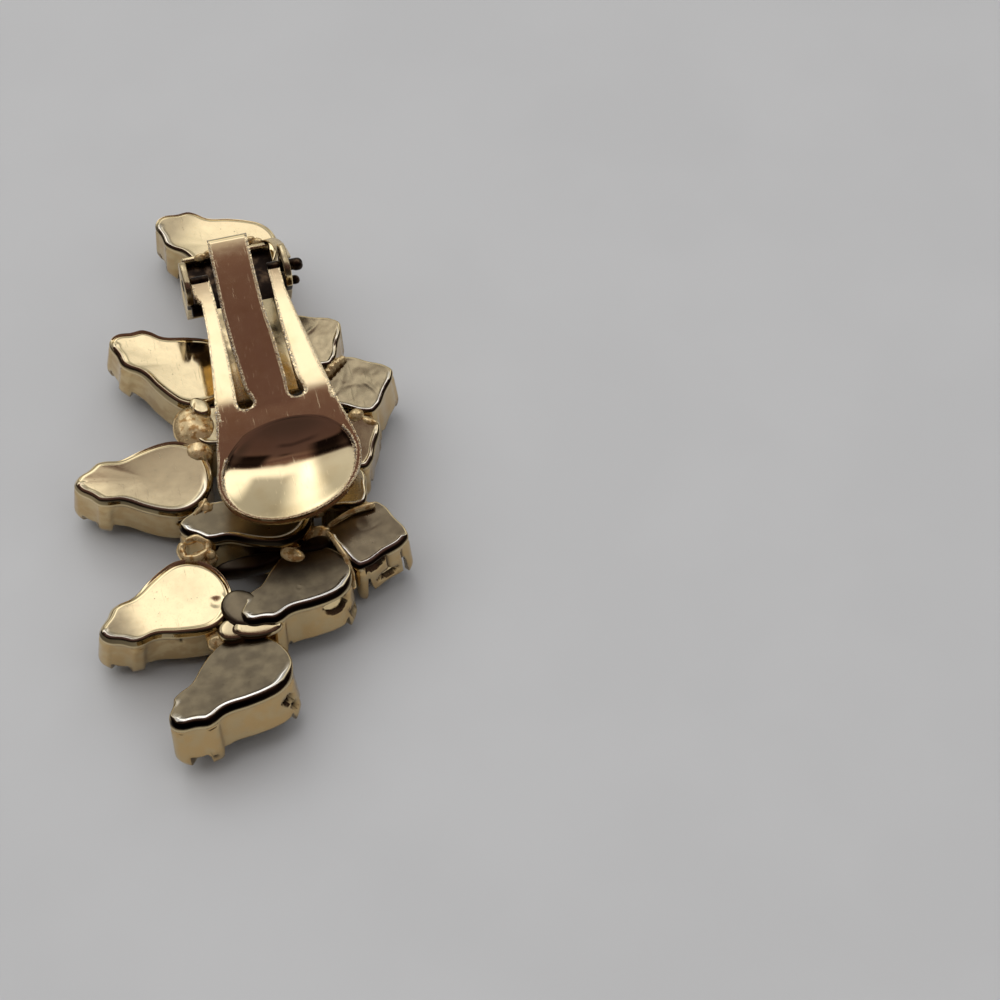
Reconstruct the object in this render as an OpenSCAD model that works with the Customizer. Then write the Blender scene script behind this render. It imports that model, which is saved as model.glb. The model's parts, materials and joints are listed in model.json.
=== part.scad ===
// Clip-on earring: a fan of prong-set stones soldered to a hinged clip.
// Millimetres, +Z up. The earring lies on its stones, with the clip on top.
// X runs along the clip's hinge, and +Y from the clip's pad to its hinge.

/* [Stone cups] */
// Length of a pear cup's back, from its tip to its round end
pear_len = 9.3; // [9.0:0.1:9.4]
// Width of a pear cup's back
pear_w = 6.0; // [5.8:0.1:6.1]
// Depth of a cup from its back to its rim
cup_depth = 3.3; // [3.1:0.1:3.5]
// Thickness of a cup's closed back
back_t = 0.5; // [0.4:0.05:0.6]
// Thickness of a square cup's wall
wall_t = 0.42; // [0.35:0.01:0.5]
// How far a prong reaches past the rim
prong_reach = 0.75; // [0.5:0.05:0.9]
// How much wider a cup is at its rim than at its back
rim_flare = 1.035; // [1.0:0.005:1.04]

/* [Stones] */
// Height of a stone's crown above the rim
crown_h = 1.15; // [0.9:0.05:1.3]
// Size of a stone's table against its girdle
table_part = 0.56; // [0.45:0.01:0.65]
// Gap between a stone and its cup
stone_gap = 0.18; // [0.16:0.01:0.25]

/* [Clip] */
// Height of the hinge axis above the resting surface
hinge_z = 7.8; // [7.7:0.1:8.1]
// Width of the clip's pad
pad_w = 10.1; // [9.8:0.1:10.3]
// Length of the pad, across its width
pad_l = 7.9; // [7.6:0.1:8.1]
// Distance from the hinge axis to the pad's centre
pad_reach = 16.3; // [16.0:0.1:16.5]
// Thickness of the clip's sheet
sheet_t = 0.45; // [0.35:0.05:0.5]
// Depth of the dish pressed into the pad
dish_depth = 0.85; // [0.6:0.05:1.0]
// Width of the flat rim left round the dish
dish_rim = 0.45; // [0.35:0.05:0.7]
// How far the spring tongue reaches past the hinge axis
tongue_tail = 2.95; // [2.6:0.05:3.0]
// Radius of the hinge pins on the legs
pin_r = 0.4; // [0.35:0.05:0.45]

/* [Clip base] */
// Distance between the insides of the two ears
ear_gap = 6.5; // [6.5:0.05:6.7]
// Thickness of an ear
ear_t = 0.45; // [0.35:0.05:0.5]
// Width of the base strip under the tongue
base_w = 4.6; // [4.0:0.1:5.0]
// Thickness of the base strip
base_t = 0.5; // [0.4:0.05:0.55]

/* [Hidden] */

gold = [0.80, 0.68, 0.42];
bright_gold = [0.88, 0.78, 0.52];
crystal = [0.90, 0.92, 0.95];

// The layout is drawn from the hinge axis, then moved so that the middle of
// the whole earring stands over the origin.
centre_shift = [2.92, 12.20, 0];

// A pear cup's half outline, a row for each point from the tip, at this length and half width:
// outside from tip, outside half width, pocket from tip, pocket half width
drawn_len = 9.3;
drawn_half_w = 3.0;
PEAR_HALF = [
    [0.00, 0.24, 0.85, 0.14],
    [0.22, 0.62, 0.95, 0.36],
    [1.00, 1.12, 1.30, 0.66],
    [1.62, 1.72, 1.75, 0.98],
    [2.20, 1.80, 2.20, 1.20],
    [3.20, 1.66, 3.10, 1.34],
    [4.60, 2.26, 4.50, 1.86],
    [5.70, 2.74, 5.60, 2.34]
];
// The round end: where its ellipse starts from the tip, and the pocket's half axes
round_from = 6.7;
round_wall = 0.42;
round_steps = 5;
// The middle that a pear cup turns and tilts about, from its tip
pear_pivot = 5.0;
// Points that carry a prong: the tip, the two shoulders, and the round end's corners
PEAR_PRONGS = [0, 3, 4, 9, 10];

// Pear cups: x, y, lift of the stone off the surface, heading of the tip, nose lift, bank, size
PEARS = [
    [-0.40,   5.70, 0.00, 140,  1,  -3, 1.00],
    [-5.40,  -4.10, 0.00, 144,  7,  -3, 1.00],
    [-9.12, -13.00, 0.00, 172,  2,  -5, 1.00],
    [-9.80, -23.30, 0.00, 195,  1,  -5, 1.00],
    [-7.16, -30.04, 0.00, 210,  3,  12, 1.00],
    [-1.41, -23.82, 0.05, 208,  4,   9, 0.90],
    [-3.09, -17.62, 0.02, 177,  0,   6, 0.97],
    [-1.50, -10.20, 0.02, 168,  0,   1, 0.95]
];
// Square cups: x, y, lift of the stone off the surface, turn, nose lift, bank, length, width
SQUARES = [
    [ 3.80,  -4.20, 0.10, -22,  1,   0, 4.2, 4.2],
    [ 6.20,  -8.70, 0.00, -34,  4,   2, 4.2, 4.2],
    [ 4.40, -13.10, 0.06, -25, -2,   4, 4.2, 4.2],
    [ 3.30, -16.90, 0.10, -10,  0,   0, 3.2, 3.2],
    [ 4.03, -21.04, 0.00,  23,  3,  -1, 4.5, 4.1],
    [ 0.40,  -2.60, 0.05, -22,  0,   0, 3.0, 3.0]
];
square_corner = 0.75;
// How far the middle of a square cup's side bows out
side_bow = 0.03;

// A cup's outside from its back: parts of its length and width, and the depth of each
BACK_EDGE = [[0.93, 0.90, 0], [0.98, 0.97, 0.12], [1, 1, 0.42]];
// How thick the rim and a prong are, as parts of the wall, and how they are rounded inside
rim_part = 0.08;
prong_part = 0.45;
prong_bend = 0.985;
prong_tip_t = 0.15;
rim_tip_t = 0.02;
flare_from = 0.1;
// The pocket narrows from this depth down to its floor
pocket_depth = 1.3;
POCKET_PARTS = [0.99, 0.9];

// Solder beads that bridge the cups: x, y, z, radius
BEADS = [
    [-4.3,  -8.0, 3.9, 0.62],
    [-5.4, -11.0, 4.1, 0.60],
    [-6.4, -15.9, 3.8, 0.62],
    [-7.2, -26.2, 3.8, 0.85],
    [-5.4, -24.2, 3.8, 0.70],
    [-6.8, -19.8, 4.1, 0.80],
    [-5.1, -26.6, 4.1, 0.62],
    [-0.8, -20.7, 4.0, 0.62],
    [ 2.0, -22.2, 4.0, 0.66],
    [ 1.3, -17.5, 3.8, 0.70],
    [ 1.0, -19.8, 4.1, 0.85],
    [ 2.2, -12.1, 4.0, 0.62],
    [ 5.2,  -6.4, 4.1, 0.62],
    [ 1.6,  -3.8, 3.9, 0.50],
    [ 6.1, -11.4, 4.1, 0.62],
    [ 4.4, -15.4, 4.0, 0.55],
    [ 4.4, -18.7, 4.1, 0.62],
    [-1.4,  -3.4, 3.9, 0.55]
];
bead_sides = 10;

// The base's underside, sunk a little into the cups that carry it
strip_z = 4.3;
strip_near = -8.4;
// The hinge plate: its near side, where it narrows, its far side, and the lip there
plate_near = -0.3;
plate_waist = 1.3;
plate_far = 4.5;
lip_h = 1.0;
// The middle of the hinge across, and an ear's side view as [y, height over the axis]
hinge_mid = -0.2;
EAR_FOOT = [[plate_near, strip_z - hinge_z], [-1.5, -0.3], [-1.5, 0.1], [1.7, 0.1],
    [1.6, -1.0], [plate_waist, strip_z - hinge_z]];
ear_round = 1.0;
EAR_ROUNDS = [-0.5, 0.7];

// Play between a hinge pin and its ear, and how far the right pin stands out of it
hinge_play = 0.05;
pin_out = 1.0;
// Half height of a leg's rolled top
knuckle_r = 0.45;

// Edges of the legs: y, outer left, inner left, inner right, outer right
LEGS = [
    [ 0.25, -3.35, -2.10, 2.00, 2.85],
    [-1.50, -3.35, -2.05, 2.00, 2.85],
    [-1.90, -3.00, -2.05, 1.98, 2.82],
    [-4.40, -3.12, -2.10, 1.90, 3.15],
    [-7.20, -3.42, -2.18, 1.90, 3.56],
    [-9.60, -3.74, -2.32, 1.98, 3.90]
];
// Where the legs' outer edges run into the pad: y, left, right
SHOULDERS = [[-12.70, -4.22, 4.38], [-14.60, -4.62, 4.80], [-16.60, -4.86, 4.70]];
// Edges of the tongue: y, left, right
TONGUE = [
    [-0.10, -1.72, 1.08],
    [-3.50, -1.84, 1.03],
    [-6.50, -1.80, 1.18],
    [-9.60, -1.66, 1.22]
];
tail_left = -1.60;
tail_right = 1.18;
// The tongue's foot, where it runs into the pad: left, right, and how far it laps on
tongue_foot = [-1.2, 1.1, 0.9];
// Round feet of the two slits: x, y, radius
SLIT_FEET = [[-1.85, -10.80, 0.55], [1.68, -10.60, 0.53]];
pad_mid_x = -0.06;
pad_turn = 17;
pad_steps = 48;
dish_steps = 5;
// The sheet is taken as reaching this far past the pad when it is cut to its slope
sheet_end_y = -22;

// The sheet's upper side, as heights over the hinge axis: legs, foot of the slits, pad's end
leg_top = 0.24;
foot_y = -10.6;
foot_top = 0.0;
pad_drop = 0.0635;
// The tongue's upper side over the hinge axis, at its middle and at its folded end
tongue_top = 0.98;
tail_top = 1.08;
tail_drop = 0.95;
// The fold at the tongue's end: distance back from the end, drop of the upper side
TAIL_FOLD = [[0.80, 0], [0.42, 0.08], [0.14, 0.28], [0, 0.58]];
big = 60;

// Points along one half of a pear, from the tip to the round end
function pear_half(sx, sy) = concat(
    [for (p = PEAR_HALF) [p[0] * sx, p[1] * sy, p[2] * sx, p[3] * sy]],
    [for (i = [0 : round_steps]) let (t = 90 - 90 * i / round_steps)
        [(round_from + (drawn_len - round_from) * cos(t)) * sx, drawn_half_w * sy * sin(t),
         round_from * sx + ((drawn_len - round_from) * sx - round_wall) * cos(t),
         (drawn_half_w * sy - round_wall) * sin(t)]]);

// The whole outline as [outside x, outside y, pocket x, pocket y, prong], with +x to the tip
function pear_ring(size) = let (
        half = pear_half(size * pear_len / drawn_len, size * pear_w / (2 * drawn_half_w)),
        pivot = pear_pivot * size,
        last = len(half) - 1)
    concat(
        [for (i = [0 : last]) [pivot - half[i][0], half[i][1],
            pivot - half[i][2], half[i][3], is_prong(i, PEAR_PRONGS)]],
        [for (i = [last - 1 : -1 : 0]) [pivot - half[i][0], -half[i][1],
            pivot - half[i][2], -half[i][3], is_prong(i, PEAR_PRONGS)]]);

function is_prong(i, list) = len([for (p = list) if (p == i) p]) > 0 ? 1 : 0;

// A rounded square outline in the same form, with a prong on each corner
function square_ring(l, w) = [for (q = [0 : 3]) for (k = [0 : 3])
    let (
        sx = (q == 0 || q == 3) ? 1 : -1,
        sy = (q < 2) ? 1 : -1,
        t = 90 * q + 45 * min(k, 2),
        cx = sx * (l / 2 - square_corner),
        cy = sy * (w / 2 - square_corner),
        in_r = square_corner - wall_t,
        mid = k == 3,
        ox = mid ? (q % 2 == 0 ? 0 : sx * (l / 2 + side_bow)) : cx + square_corner * cos(t),
        oy = mid ? (q % 2 == 0 ? sy * (w / 2 + side_bow) : 0) : cy + square_corner * sin(t),
        ix = mid ? (q % 2 == 0 ? 0 : sx * (l / 2 + side_bow - wall_t)) : cx + in_r * cos(t),
        iy = mid ? (q % 2 == 0 ? sy * (w / 2 + side_bow - wall_t) : 0) : cy + in_r * sin(t))
    [ox, oy, ix, iy, k == 1 ? 1 : 0]];

// Joins rings of points, each as long as the others, into one closed solid
module loft(rings) {
    n = len(rings[0]);
    last = len(rings) - 1;
    pts = [for (r = rings) for (p = r) p];
    sides = [for (k = [0 : last - 1]) for (i = [0 : n - 1]) let (j = (i + 1) % n)
        each [[k * n + i, k * n + j, (k + 1) * n + j], [k * n + i, (k + 1) * n + j, (k + 1) * n + i]]];
    polyhedron(points = pts, faces = concat(
        [[for (i = [n - 1 : -1 : 0]) i]],
        sides,
        [[for (i = [0 : n - 1]) last * n + i]]));
}

function lerp2(a, b, t) = [a[0] + (b[0] - a[0]) * t, a[1] + (b[1] - a[1]) * t];

// One closed-back cup, hanging down from its back at z = 0, with prongs past its rim
module cup(ring) {
    out = [for (p = ring) [p[0], p[1]]];
    pocket = [for (p = ring) [p[2], p[3]]];
    prong = [for (p = ring) p[4]];
    n = len(ring) - 1;
    rim = -cup_depth;
    loft(concat(
        [for (e = BACK_EDGE) [for (i = [0 : n]) [out[i][0] * e[0], out[i][1] * e[1], -e[2]]]],
        [[for (i = [0 : n]) [out[i][0] * rim_flare, out[i][1] * rim_flare, rim + flare_from]]],
        [[for (i = [0 : n])
            let (q = lerp2(out[i] * rim_flare, pocket[i], prong[i] ? prong_part : rim_part))
            [q[0], q[1], prong[i] ? rim - prong_reach : rim]]],
        [[for (i = [0 : n]) let (q = prong[i] ? pocket[i] * prong_bend : pocket[i])
            [q[0], q[1], prong[i] ? rim - prong_reach + prong_tip_t : rim + rim_tip_t]]],
        [[for (i = [0 : n]) [pocket[i][0] * POCKET_PARTS[0], pocket[i][1] * POCKET_PARTS[0],
            -pocket_depth]]],
        [[for (i = [0 : n]) [pocket[i][0] * POCKET_PARTS[1], pocket[i][1] * POCKET_PARTS[1],
            -back_t]]]
    ));
}

// A stone's outline takes every other point of its pocket's
function stone_edge(ring) = [for (i = [0 : 2 : len(ring) - 1]) [ring[i][2], ring[i][3]]];
stone_fit = 1 - stone_gap / 2.2;

// One cut stone in the pocket of a cup: culet, pavilion, girdle, crown and table
module stone(ring) {
    edge = stone_edge(ring);
    girdle = -cup_depth + 0.3;
    function at(part, z) = [for (p = edge) [p[0] * stone_fit * part, p[1] * stone_fit * part, z]];
    loft([
        at(0.10, -back_t - 0.2),
        at(0.96, girdle),
        at(0.96, girdle - 0.25),
        at(table_part + 0.24, girdle - 0.25 - (crown_h + 0.05) * 0.62),
        at(table_part, -cup_depth - crown_h)
    ]);
}

// How far a stone's table reaches below its cup's back, once the cup is tilted
function table_reach(ring, nose, bank) = let (part = stone_fit * table_part)
    -min([for (p = stone_edge(ring)) p[0] * part * sin(nose)
        + (p[1] * part * sin(bank) - (cup_depth + crown_h) * cos(bank)) * cos(nose)]);

// Sets a cup or its stone in place: x, y, lift, turn, nose lift and bank, with its outline
module in_place(p, ring) {
    translate([p[0], p[1], p[2] + table_reach(ring, p[4], p[5])] + centre_shift)
        rotate([p[5], -p[4], p[3]]) children();
}

// The strip soldered to the cups, and the hinge plate with two ears that hold the pins
module clip_base() {
    outer = ear_gap / 2 + ear_t;
    inner = ear_gap / 2 - 0.1;
    difference() {
        union() {
            translate([-base_w / 2, strip_near, strip_z])
                cube([base_w, plate_far - strip_near, base_t]);
            translate([hinge_mid - outer, plate_near, strip_z])
                cube([2 * outer, plate_waist - plate_near, base_t]);
            translate([hinge_mid - inner, plate_near, strip_z])
                cube([2 * inner, plate_far - plate_near, base_t]);
            translate([hinge_mid - inner, plate_far - ear_t, strip_z])
                cube([2 * inner, ear_t, lip_h]);
            for (side = [-1, 1])
                translate([hinge_mid + side * (ear_gap + ear_t) / 2, 0, 0]) ear();
            stop_tab();
        }
        rotate([0, 90, 0]) translate([-hinge_z, 0, -big / 2])
            cylinder(r = pin_r + hinge_play, h = big, $fn = 48);
    }
}

module ear() {
    translate([-ear_t / 2, 0, hinge_z]) rotate([90, 0, 90]) linear_extrude(ear_t) union() {
        polygon(EAR_FOOT);
        translate([EAR_ROUNDS[0], 0]) square([EAR_ROUNDS[1] - EAR_ROUNDS[0], ear_round + 0.1]);
        for (y = EAR_ROUNDS) translate([y, 0.1]) circle(r = ear_round, $fn = 64);
    }
}

// A small tab bent in from the left ear, in front of the leg
module stop_tab() {
    translate([hinge_mid - ear_gap / 2 - ear_t / 2, -1.6, hinge_z - 1.7])
        cube([1.0, 0.42, 1.1]);
}

module setting() {
    color(gold) {
        for (p = PEARS) let (ring = pear_ring(p[6])) in_place(p, ring) cup(ring);
        for (s = SQUARES) let (ring = square_ring(s[6], s[7])) in_place(s, ring) cup(ring);
        for (b = BEADS) translate([b[0], b[1], b[2]] + centre_shift) sphere(r = b[3], $fn = bead_sides);
        translate(centre_shift) clip_base();
    }
}

// A strip of bent sheet seen from the side: its top line as [y, height over the hinge]
module side_profile(top_line) {
    n = len(top_line);
    rotate([90, 0, 90]) translate([0, 0, -big / 2]) linear_extrude(big)
        polygon(concat(
            [for (p = top_line) [p[0], hinge_z + p[1]]],
            [for (i = [n - 1 : -1 : 0]) [top_line[i][0], hinge_z + top_line[i][1] - sheet_t]]));
}

// Height of the pad's flat upper side over the hinge axis
function pad_top(y) = foot_top + pad_drop * (y - foot_y);
function pad_line() = [[sheet_end_y, pad_top(sheet_end_y)], [foot_y, foot_top]];

// A point on the pad's rim, or on a smaller ellipse inside it
function pad_point(t, inset) = let (
        u = (pad_w / 2 - inset) * cos(t),
        v = (pad_l / 2 - inset) * sin(t))
    [pad_mid_x + u * cos(pad_turn) - v * sin(pad_turn),
        -pad_reach + u * sin(pad_turn) + v * cos(pad_turn)];

// The outline of the pad and the two legs, from above
module sheet_outline() {
    polygon([for (i = [0 : pad_steps - 1]) pad_point(360 * i / pad_steps, 0)]);
    polygon(concat(
        [for (r = LEGS) [r[1], r[0]]],
        [for (r = SHOULDERS) [r[1], r[0]]],
        [for (i = [len(SHOULDERS) - 1 : -1 : 0]) [SHOULDERS[i][2], SHOULDERS[i][0]]],
        [for (i = [len(LEGS) - 1 : -1 : 0]) [LEGS[i][4], LEGS[i][0]]]));
}

// The opening between the two legs, which the tongue fills again
module leg_window() {
    far = 1;
    polygon(concat(
        [[LEGS[0][2], far]],
        [for (r = LEGS) [r[2], r[0]]],
        [[SLIT_FEET[0][0] - SLIT_FEET[0][2], SLIT_FEET[0][1]],
            [SLIT_FEET[1][0] + SLIT_FEET[1][2], SLIT_FEET[1][1]]],
        [for (i = [len(LEGS) - 1 : -1 : 0]) [LEGS[i][3], LEGS[i][0]]],
        [[LEGS[0][3], far]]));
}

module slit_feet() {
    for (f = SLIT_FEET) translate([f[0], f[1], 0]) cylinder(r = f[2], h = 2 * hinge_z, $fn = 32);
}

module legs_and_pad() {
    intersection() {
        linear_extrude(2 * hinge_z) difference() {
            sheet_outline();
            leg_window();
            polygon([for (i = [0 : pad_steps - 1])
                pad_point(360 * i / pad_steps, dish_rim - 0.1)]);
        }
        side_profile(concat(pad_line(), [[1, leg_top]]));
    }
}

// The dish pressed into the pad, as rings from its outside up to its rim and down its inside
module dish() {
    skin = 0.03;
    // Part of the dish's half width, and its depth there
    inside = [for (k = [0 : dish_steps]) let (u = sin(90 * k / dish_steps) * 0.98 + 0.02)
        [u, dish_depth * (1 - u * u)]];
    function ring(u, h) = [for (i = [0 : pad_steps - 1])
        let (q = pad_point(-360 * i / pad_steps, 0),
            c = [pad_mid_x, -pad_reach],
            f = 1 - dish_rim / (pad_w / 4 + pad_l / 4),
            e = c + (q - c) * f * u)
        [e[0], e[1], hinge_z + pad_top(e[1]) + h]];
    loft(concat(
        [for (k = [0 : dish_steps]) ring(inside[k][0] * 0.99, -inside[k][1] - sheet_t + skin)],
        [ring(1.06, skin - sheet_t), ring(1.06, -skin)],
        [for (k = [dish_steps : -1 : 0]) ring(inside[k][0], -inside[k][1] - skin)]));
}

// The tongue's plan, from its folded tail to the pad between the slits' feet
module tongue_outline() {
    polygon(concat(
        [[tail_left, tongue_tail]],
        [for (r = TONGUE) [r[1], r[0]]],
        [[tongue_foot[0], foot_y], [tongue_foot[0], foot_y - tongue_foot[2]],
            [tongue_foot[1], foot_y - tongue_foot[2]], [tongue_foot[1], foot_y]],
        [for (i = [len(TONGUE) - 1 : -1 : 0]) [TONGUE[i][2], TONGUE[i][0]]],
        [[tail_right, tongue_tail]]));
}

module tongue() {
    t = tongue_tail;
    intersection() {
        linear_extrude(2 * hinge_z) tongue_outline();
        rotate([90, 0, 90]) translate([0, hinge_z, -big / 2]) linear_extrude(big) polygon(concat(
            [for (p = pad_line()) p],
            [[0, tongue_top]],
            [for (f = TAIL_FOLD) [t - f[0], tail_top - f[1]]],
            [[t, tail_top - tail_drop], [t - sheet_t, tail_top - tail_drop],
                [t - sheet_t, tail_top - sheet_t - 0.16],
                [t - 0.62, tail_top - sheet_t - 0.04], [t - 0.85, tail_top - sheet_t],
                [0, tongue_top - sheet_t], [foot_y, foot_top - sheet_t],
                [sheet_end_y, pad_top(sheet_end_y) - sheet_t]]));
    }
}

// A leg's rolled top and the hinge pin that stands out of it
module leg_pin(side) {
    ear_out = hinge_mid + side * (ear_gap / 2 + ear_t);
    inner = side > 0 ? LEGS[0][3] : -LEGS[0][2];
    outer = side > 0 ? LEGS[0][4] : -LEGS[0][1];
    tip = side * ear_out + (side > 0 ? pin_out : 0.05);
    translate([0, 0, hinge_z]) rotate([0, side * 90, 0]) {
        translate([0, 0, inner]) cylinder(r = knuckle_r, h = outer - inner, $fn = 48);
        translate([0, 0, inner]) cylinder(r = pin_r, h = tip - inner - (side > 0 ? pin_r : 0),
            $fn = 48);
        if (side > 0) translate([0, 0, tip - pin_r]) sphere(r = pin_r, $fn = 48);
    }
}

module clip_paddle() {
    color(bright_gold) translate(centre_shift) {
        difference() {
            union() {
                legs_and_pad();
                tongue();
            }
            slit_feet();
        }
        dish();
        for (side = [-1, 1]) leg_pin(side);
    }
}

module pear_stone(i) {
    ring = pear_ring(PEARS[i][6]);
    color(crystal) in_place(PEARS[i], ring) stone(ring);
}

module square_stone(i) {
    ring = square_ring(SQUARES[i][6], SQUARES[i][7]);
    color(crystal) in_place(SQUARES[i], ring) stone(ring);
}

setting();
clip_paddle();
for (i = [0 : len(PEARS) - 1])
    pear_stone(i);
for (i = [0 : len(SQUARES) - 1])
    square_stone(i);
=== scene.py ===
"""A clip-on earring lying on its stones, with its clip on top, in plain soft studio light.

The file is laid out as a Blender add-on and run as a script. Sizes are in millimetres in the
tables, in the same layout as the part's source, and pieces are made in metres.
"""

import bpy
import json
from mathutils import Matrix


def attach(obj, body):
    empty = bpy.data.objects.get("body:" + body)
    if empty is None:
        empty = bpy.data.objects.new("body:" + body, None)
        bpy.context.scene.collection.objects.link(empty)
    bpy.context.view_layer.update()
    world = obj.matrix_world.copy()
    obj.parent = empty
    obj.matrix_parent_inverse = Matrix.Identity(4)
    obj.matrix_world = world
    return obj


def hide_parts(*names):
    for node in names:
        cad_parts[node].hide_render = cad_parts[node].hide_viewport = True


bl_info = {
    "name": "Clip-on earring",
    "version": (1, 0, 0),
    "blender": (4, 5, 0),
    "location": "View3D > Sidebar > Earring",
    "description": "Builds the cups, stones, clip base and clip of a clip-on earring",
    "category": "Add Mesh",
}

import json
import math

import bmesh
import bpy
import numpy as np
from mathutils import Matrix, Vector, noise
from mathutils.kdtree import KDTree

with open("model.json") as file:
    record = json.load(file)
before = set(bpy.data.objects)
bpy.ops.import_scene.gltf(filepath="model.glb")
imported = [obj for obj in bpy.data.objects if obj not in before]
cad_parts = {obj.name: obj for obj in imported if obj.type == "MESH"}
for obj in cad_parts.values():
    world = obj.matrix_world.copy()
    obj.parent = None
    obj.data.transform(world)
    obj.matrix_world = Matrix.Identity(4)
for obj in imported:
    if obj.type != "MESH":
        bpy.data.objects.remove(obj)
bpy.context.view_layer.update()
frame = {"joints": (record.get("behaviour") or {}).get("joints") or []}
HINGE = frame["joints"][0]

MM = 0.001

# The part's own layout: the hinge axis at x and y = 0, moved by this much in the frame
SHIFT = np.array([2.92, 12.20, 0.0])
HINGE_Z = HINGE["pos_m"][2] / MM

# A pear cup's half outline from its tip: outside from tip, outside half width,
# pocket from tip, pocket half width
PEAR_HALF = [
    (0.00, 0.24, 0.85, 0.14),
    (0.22, 0.62, 0.95, 0.36),
    (1.00, 1.16, 1.30, 0.66),
    (1.62, 1.68, 1.75, 0.98),
    (2.15, 1.78, 2.20, 1.20),
    (2.95, 1.76, 3.10, 1.34),
    (4.60, 2.44, 4.50, 1.86),
    (5.70, 2.83, 5.60, 2.34),
]
PEAR_LEN = 9.3
PEAR_HALF_W = 3.0
ROUND_FROM = 6.7
ROUND_WALL = 0.42
ROUND_STEPS = 5
PEAR_PIVOT = 5.0
# Prongs of a pear cup, as pairs of outline points that each one stands between
PEAR_PRONGS = [(3, 4), (9, 10)]
SQUARE_CORNER = 0.75
SQUARE_WALL = 0.42

# Pear cups: name, x, y, lift, heading of the tip, nose lift, bank, size
PEARS = [
    ("cup_pear_1", -0.40, 5.70, 0.00, 140, 1, -3, 1.00),
    ("cup_pear_2", -5.40, -4.10, 0.00, 144, 7, -3, 1.00),
    ("cup_pear_3", -9.12, -13.00, 0.00, 172, 2, -5, 1.00),
    ("cup_pear_4", -9.80, -23.30, 0.00, 195, 1, -5, 1.00),
    ("cup_pear_5", -7.16, -30.04, 0.00, 210, 3, 12, 1.00),
    ("cup_pear_6", -1.41, -23.82, 0.05, 208, 4, 9, 0.90),
    ("cup_pear_7", -3.09, -17.62, 0.02, 177, 0, 6, 0.97),
    ("cup_pear_8", -1.50, -10.20, 0.02, 168, 0, 1, 0.95),
]
# Square cups: name, x, y, lift, turn, nose lift, bank, length, width
SQUARES = [
    ("cup_square_1", 3.80, -4.20, 0.10, -22, 1, 0, 4.2, 4.2),
    ("cup_square_2", 6.20, -8.70, 0.00, -34, 4, 2, 4.2, 4.2),
    ("cup_square_3", 4.40, -13.10, 0.06, -25, -2, 4, 4.2, 4.2),
    ("cup_square_4", 3.30, -16.90, 0.10, -10, 0, 0, 3.2, 3.2),
    ("cup_square_5", 4.03, -21.04, 0.00, 23, 3, -1, 4.5, 4.1),
    ("cup_square_6", 0.40, -2.60, 0.05, -22, 0, 0, 3.0, 3.0),
]
# Each cup's back: how grey it has worn at its tip and at its head, how hollow it is pressed
# in mm, how many degrees it leans to the far side and to the right on its cup, and how far its
# edge is rounded on the near side and on the far side in mm
BACKS = {
    "cup_pear_1": (0.60, 0.16, 0.03, 2.6, 0.0, 0.26, 0.36),
    "cup_pear_2": (0.12, 0.12, 0.02, 5.2, 0.0, 0.34, 0.44),
    "cup_pear_3": (0.20, 0.46, 0.03, 3.8, 0.8, 0.36, 0.50),
    "cup_pear_4": (0.62, 0.00, 0.012, 5.0, 0.0, 0.34, 0.58),
    "cup_pear_5": (0.92, 0.96, 0.015, 0.0, 0.0, 0.56, 0.16),
    "cup_pear_6": (0.92, 0.98, 0.015, 0.0, 0.0, 0.52, 0.14),
    "cup_pear_7": (0.90, 0.90, 0.02, 2.5, 0.0, 0.44, 0.20),
    "cup_pear_8": (0.05, 0.55, 0.03, 3.4, 0.0, 0.20, 0.20),
    "cup_square_1": (0.62, 0.62, 0.03, -0.5, 0.0, 0.22, 0.22),
    "cup_square_2": (0.74, 0.74, 0.03, 0.0, 0.0, 0.24, 0.22),
    "cup_square_3": (0.46, 0.46, 0.02, 0.0, 0.0, 0.26, 0.22),
    "cup_square_4": (0.80, 0.80, 0.02, 0.0, 0.0, 0.25, 0.20),
    "cup_square_5": (0.90, 0.90, 0.02, 0.0, 0.0, 0.42, 0.16),
    "cup_square_6": (0.50, 0.50, 0.02, 0.0, 0.0, 0.25, 0.20),
}
# A back's rings from its middle to the start of its rounded edge, then the angles that the
# edge's rings stand at
BACK_RINGS = [0.06, 0.14, 0.22, 0.30, 0.38, 0.46, 0.54, 0.61, 0.68, 0.74, 0.80, 0.85, 0.89, 0.92,
              0.945, 0.965, 0.985, 1.0]
EDGE_ANGLES = [10, 20, 30, 40, 50, 60, 70, 80, 90]
WALL_RINGS = [0.03, 0.07, 0.12, 0.18, 0.24, 0.31, 0.38, 0.46, 0.54, 0.62, 0.70, 0.78, 0.86, 0.92,
              0.97, 1.0]
# Points round a pear cup and round a square one
PEAR_COUNT = 150
SQUARE_COUNT = 112
# How far a back lies under the cup's own zero, where the wall starts under that, and where
# along a pear cup the wear changes from its head's to its tip's
BACK_SINK = 0.03
WALL_TOP = 0.55
WEAR_CHANGE = (1.4, 4.0)
# How far a prong bends in over its stone
PRONG_BEND = 0.45
# How much further a pear cup's tip prong reaches to each side than the others
TIP_PRONG = 0.32
# The slots beside the prongs go this part of their full depth, and in these cups another
SLOT_PART = 0.15
SLOTS = {"cup_pear_5": 0.10, "cup_pear_6": 0.3, "cup_square_5": 1.2, "cup_square_3": 0.5}
# The near side of the object, where the cups' edges stand up in a lip
NEAR_SIDE = np.array([-0.250, -0.968])
# Dents in the backs: x, y, radius, depth
DENTS = [
    (-6.75, -23.70, 0.36, 0.011),
    (-10.47, -22.2, 0.10, 0.004),
    (-1.30, -24.20, 0.16, 0.012),
    (-1.45, -25.00, 0.13, 0.010),
    (3.90, -20.10, 0.30, 0.012),
    (6.60, -8.10, 0.50, 0.022),
    (5.40, -9.20, 0.40, 0.018),
]
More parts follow.
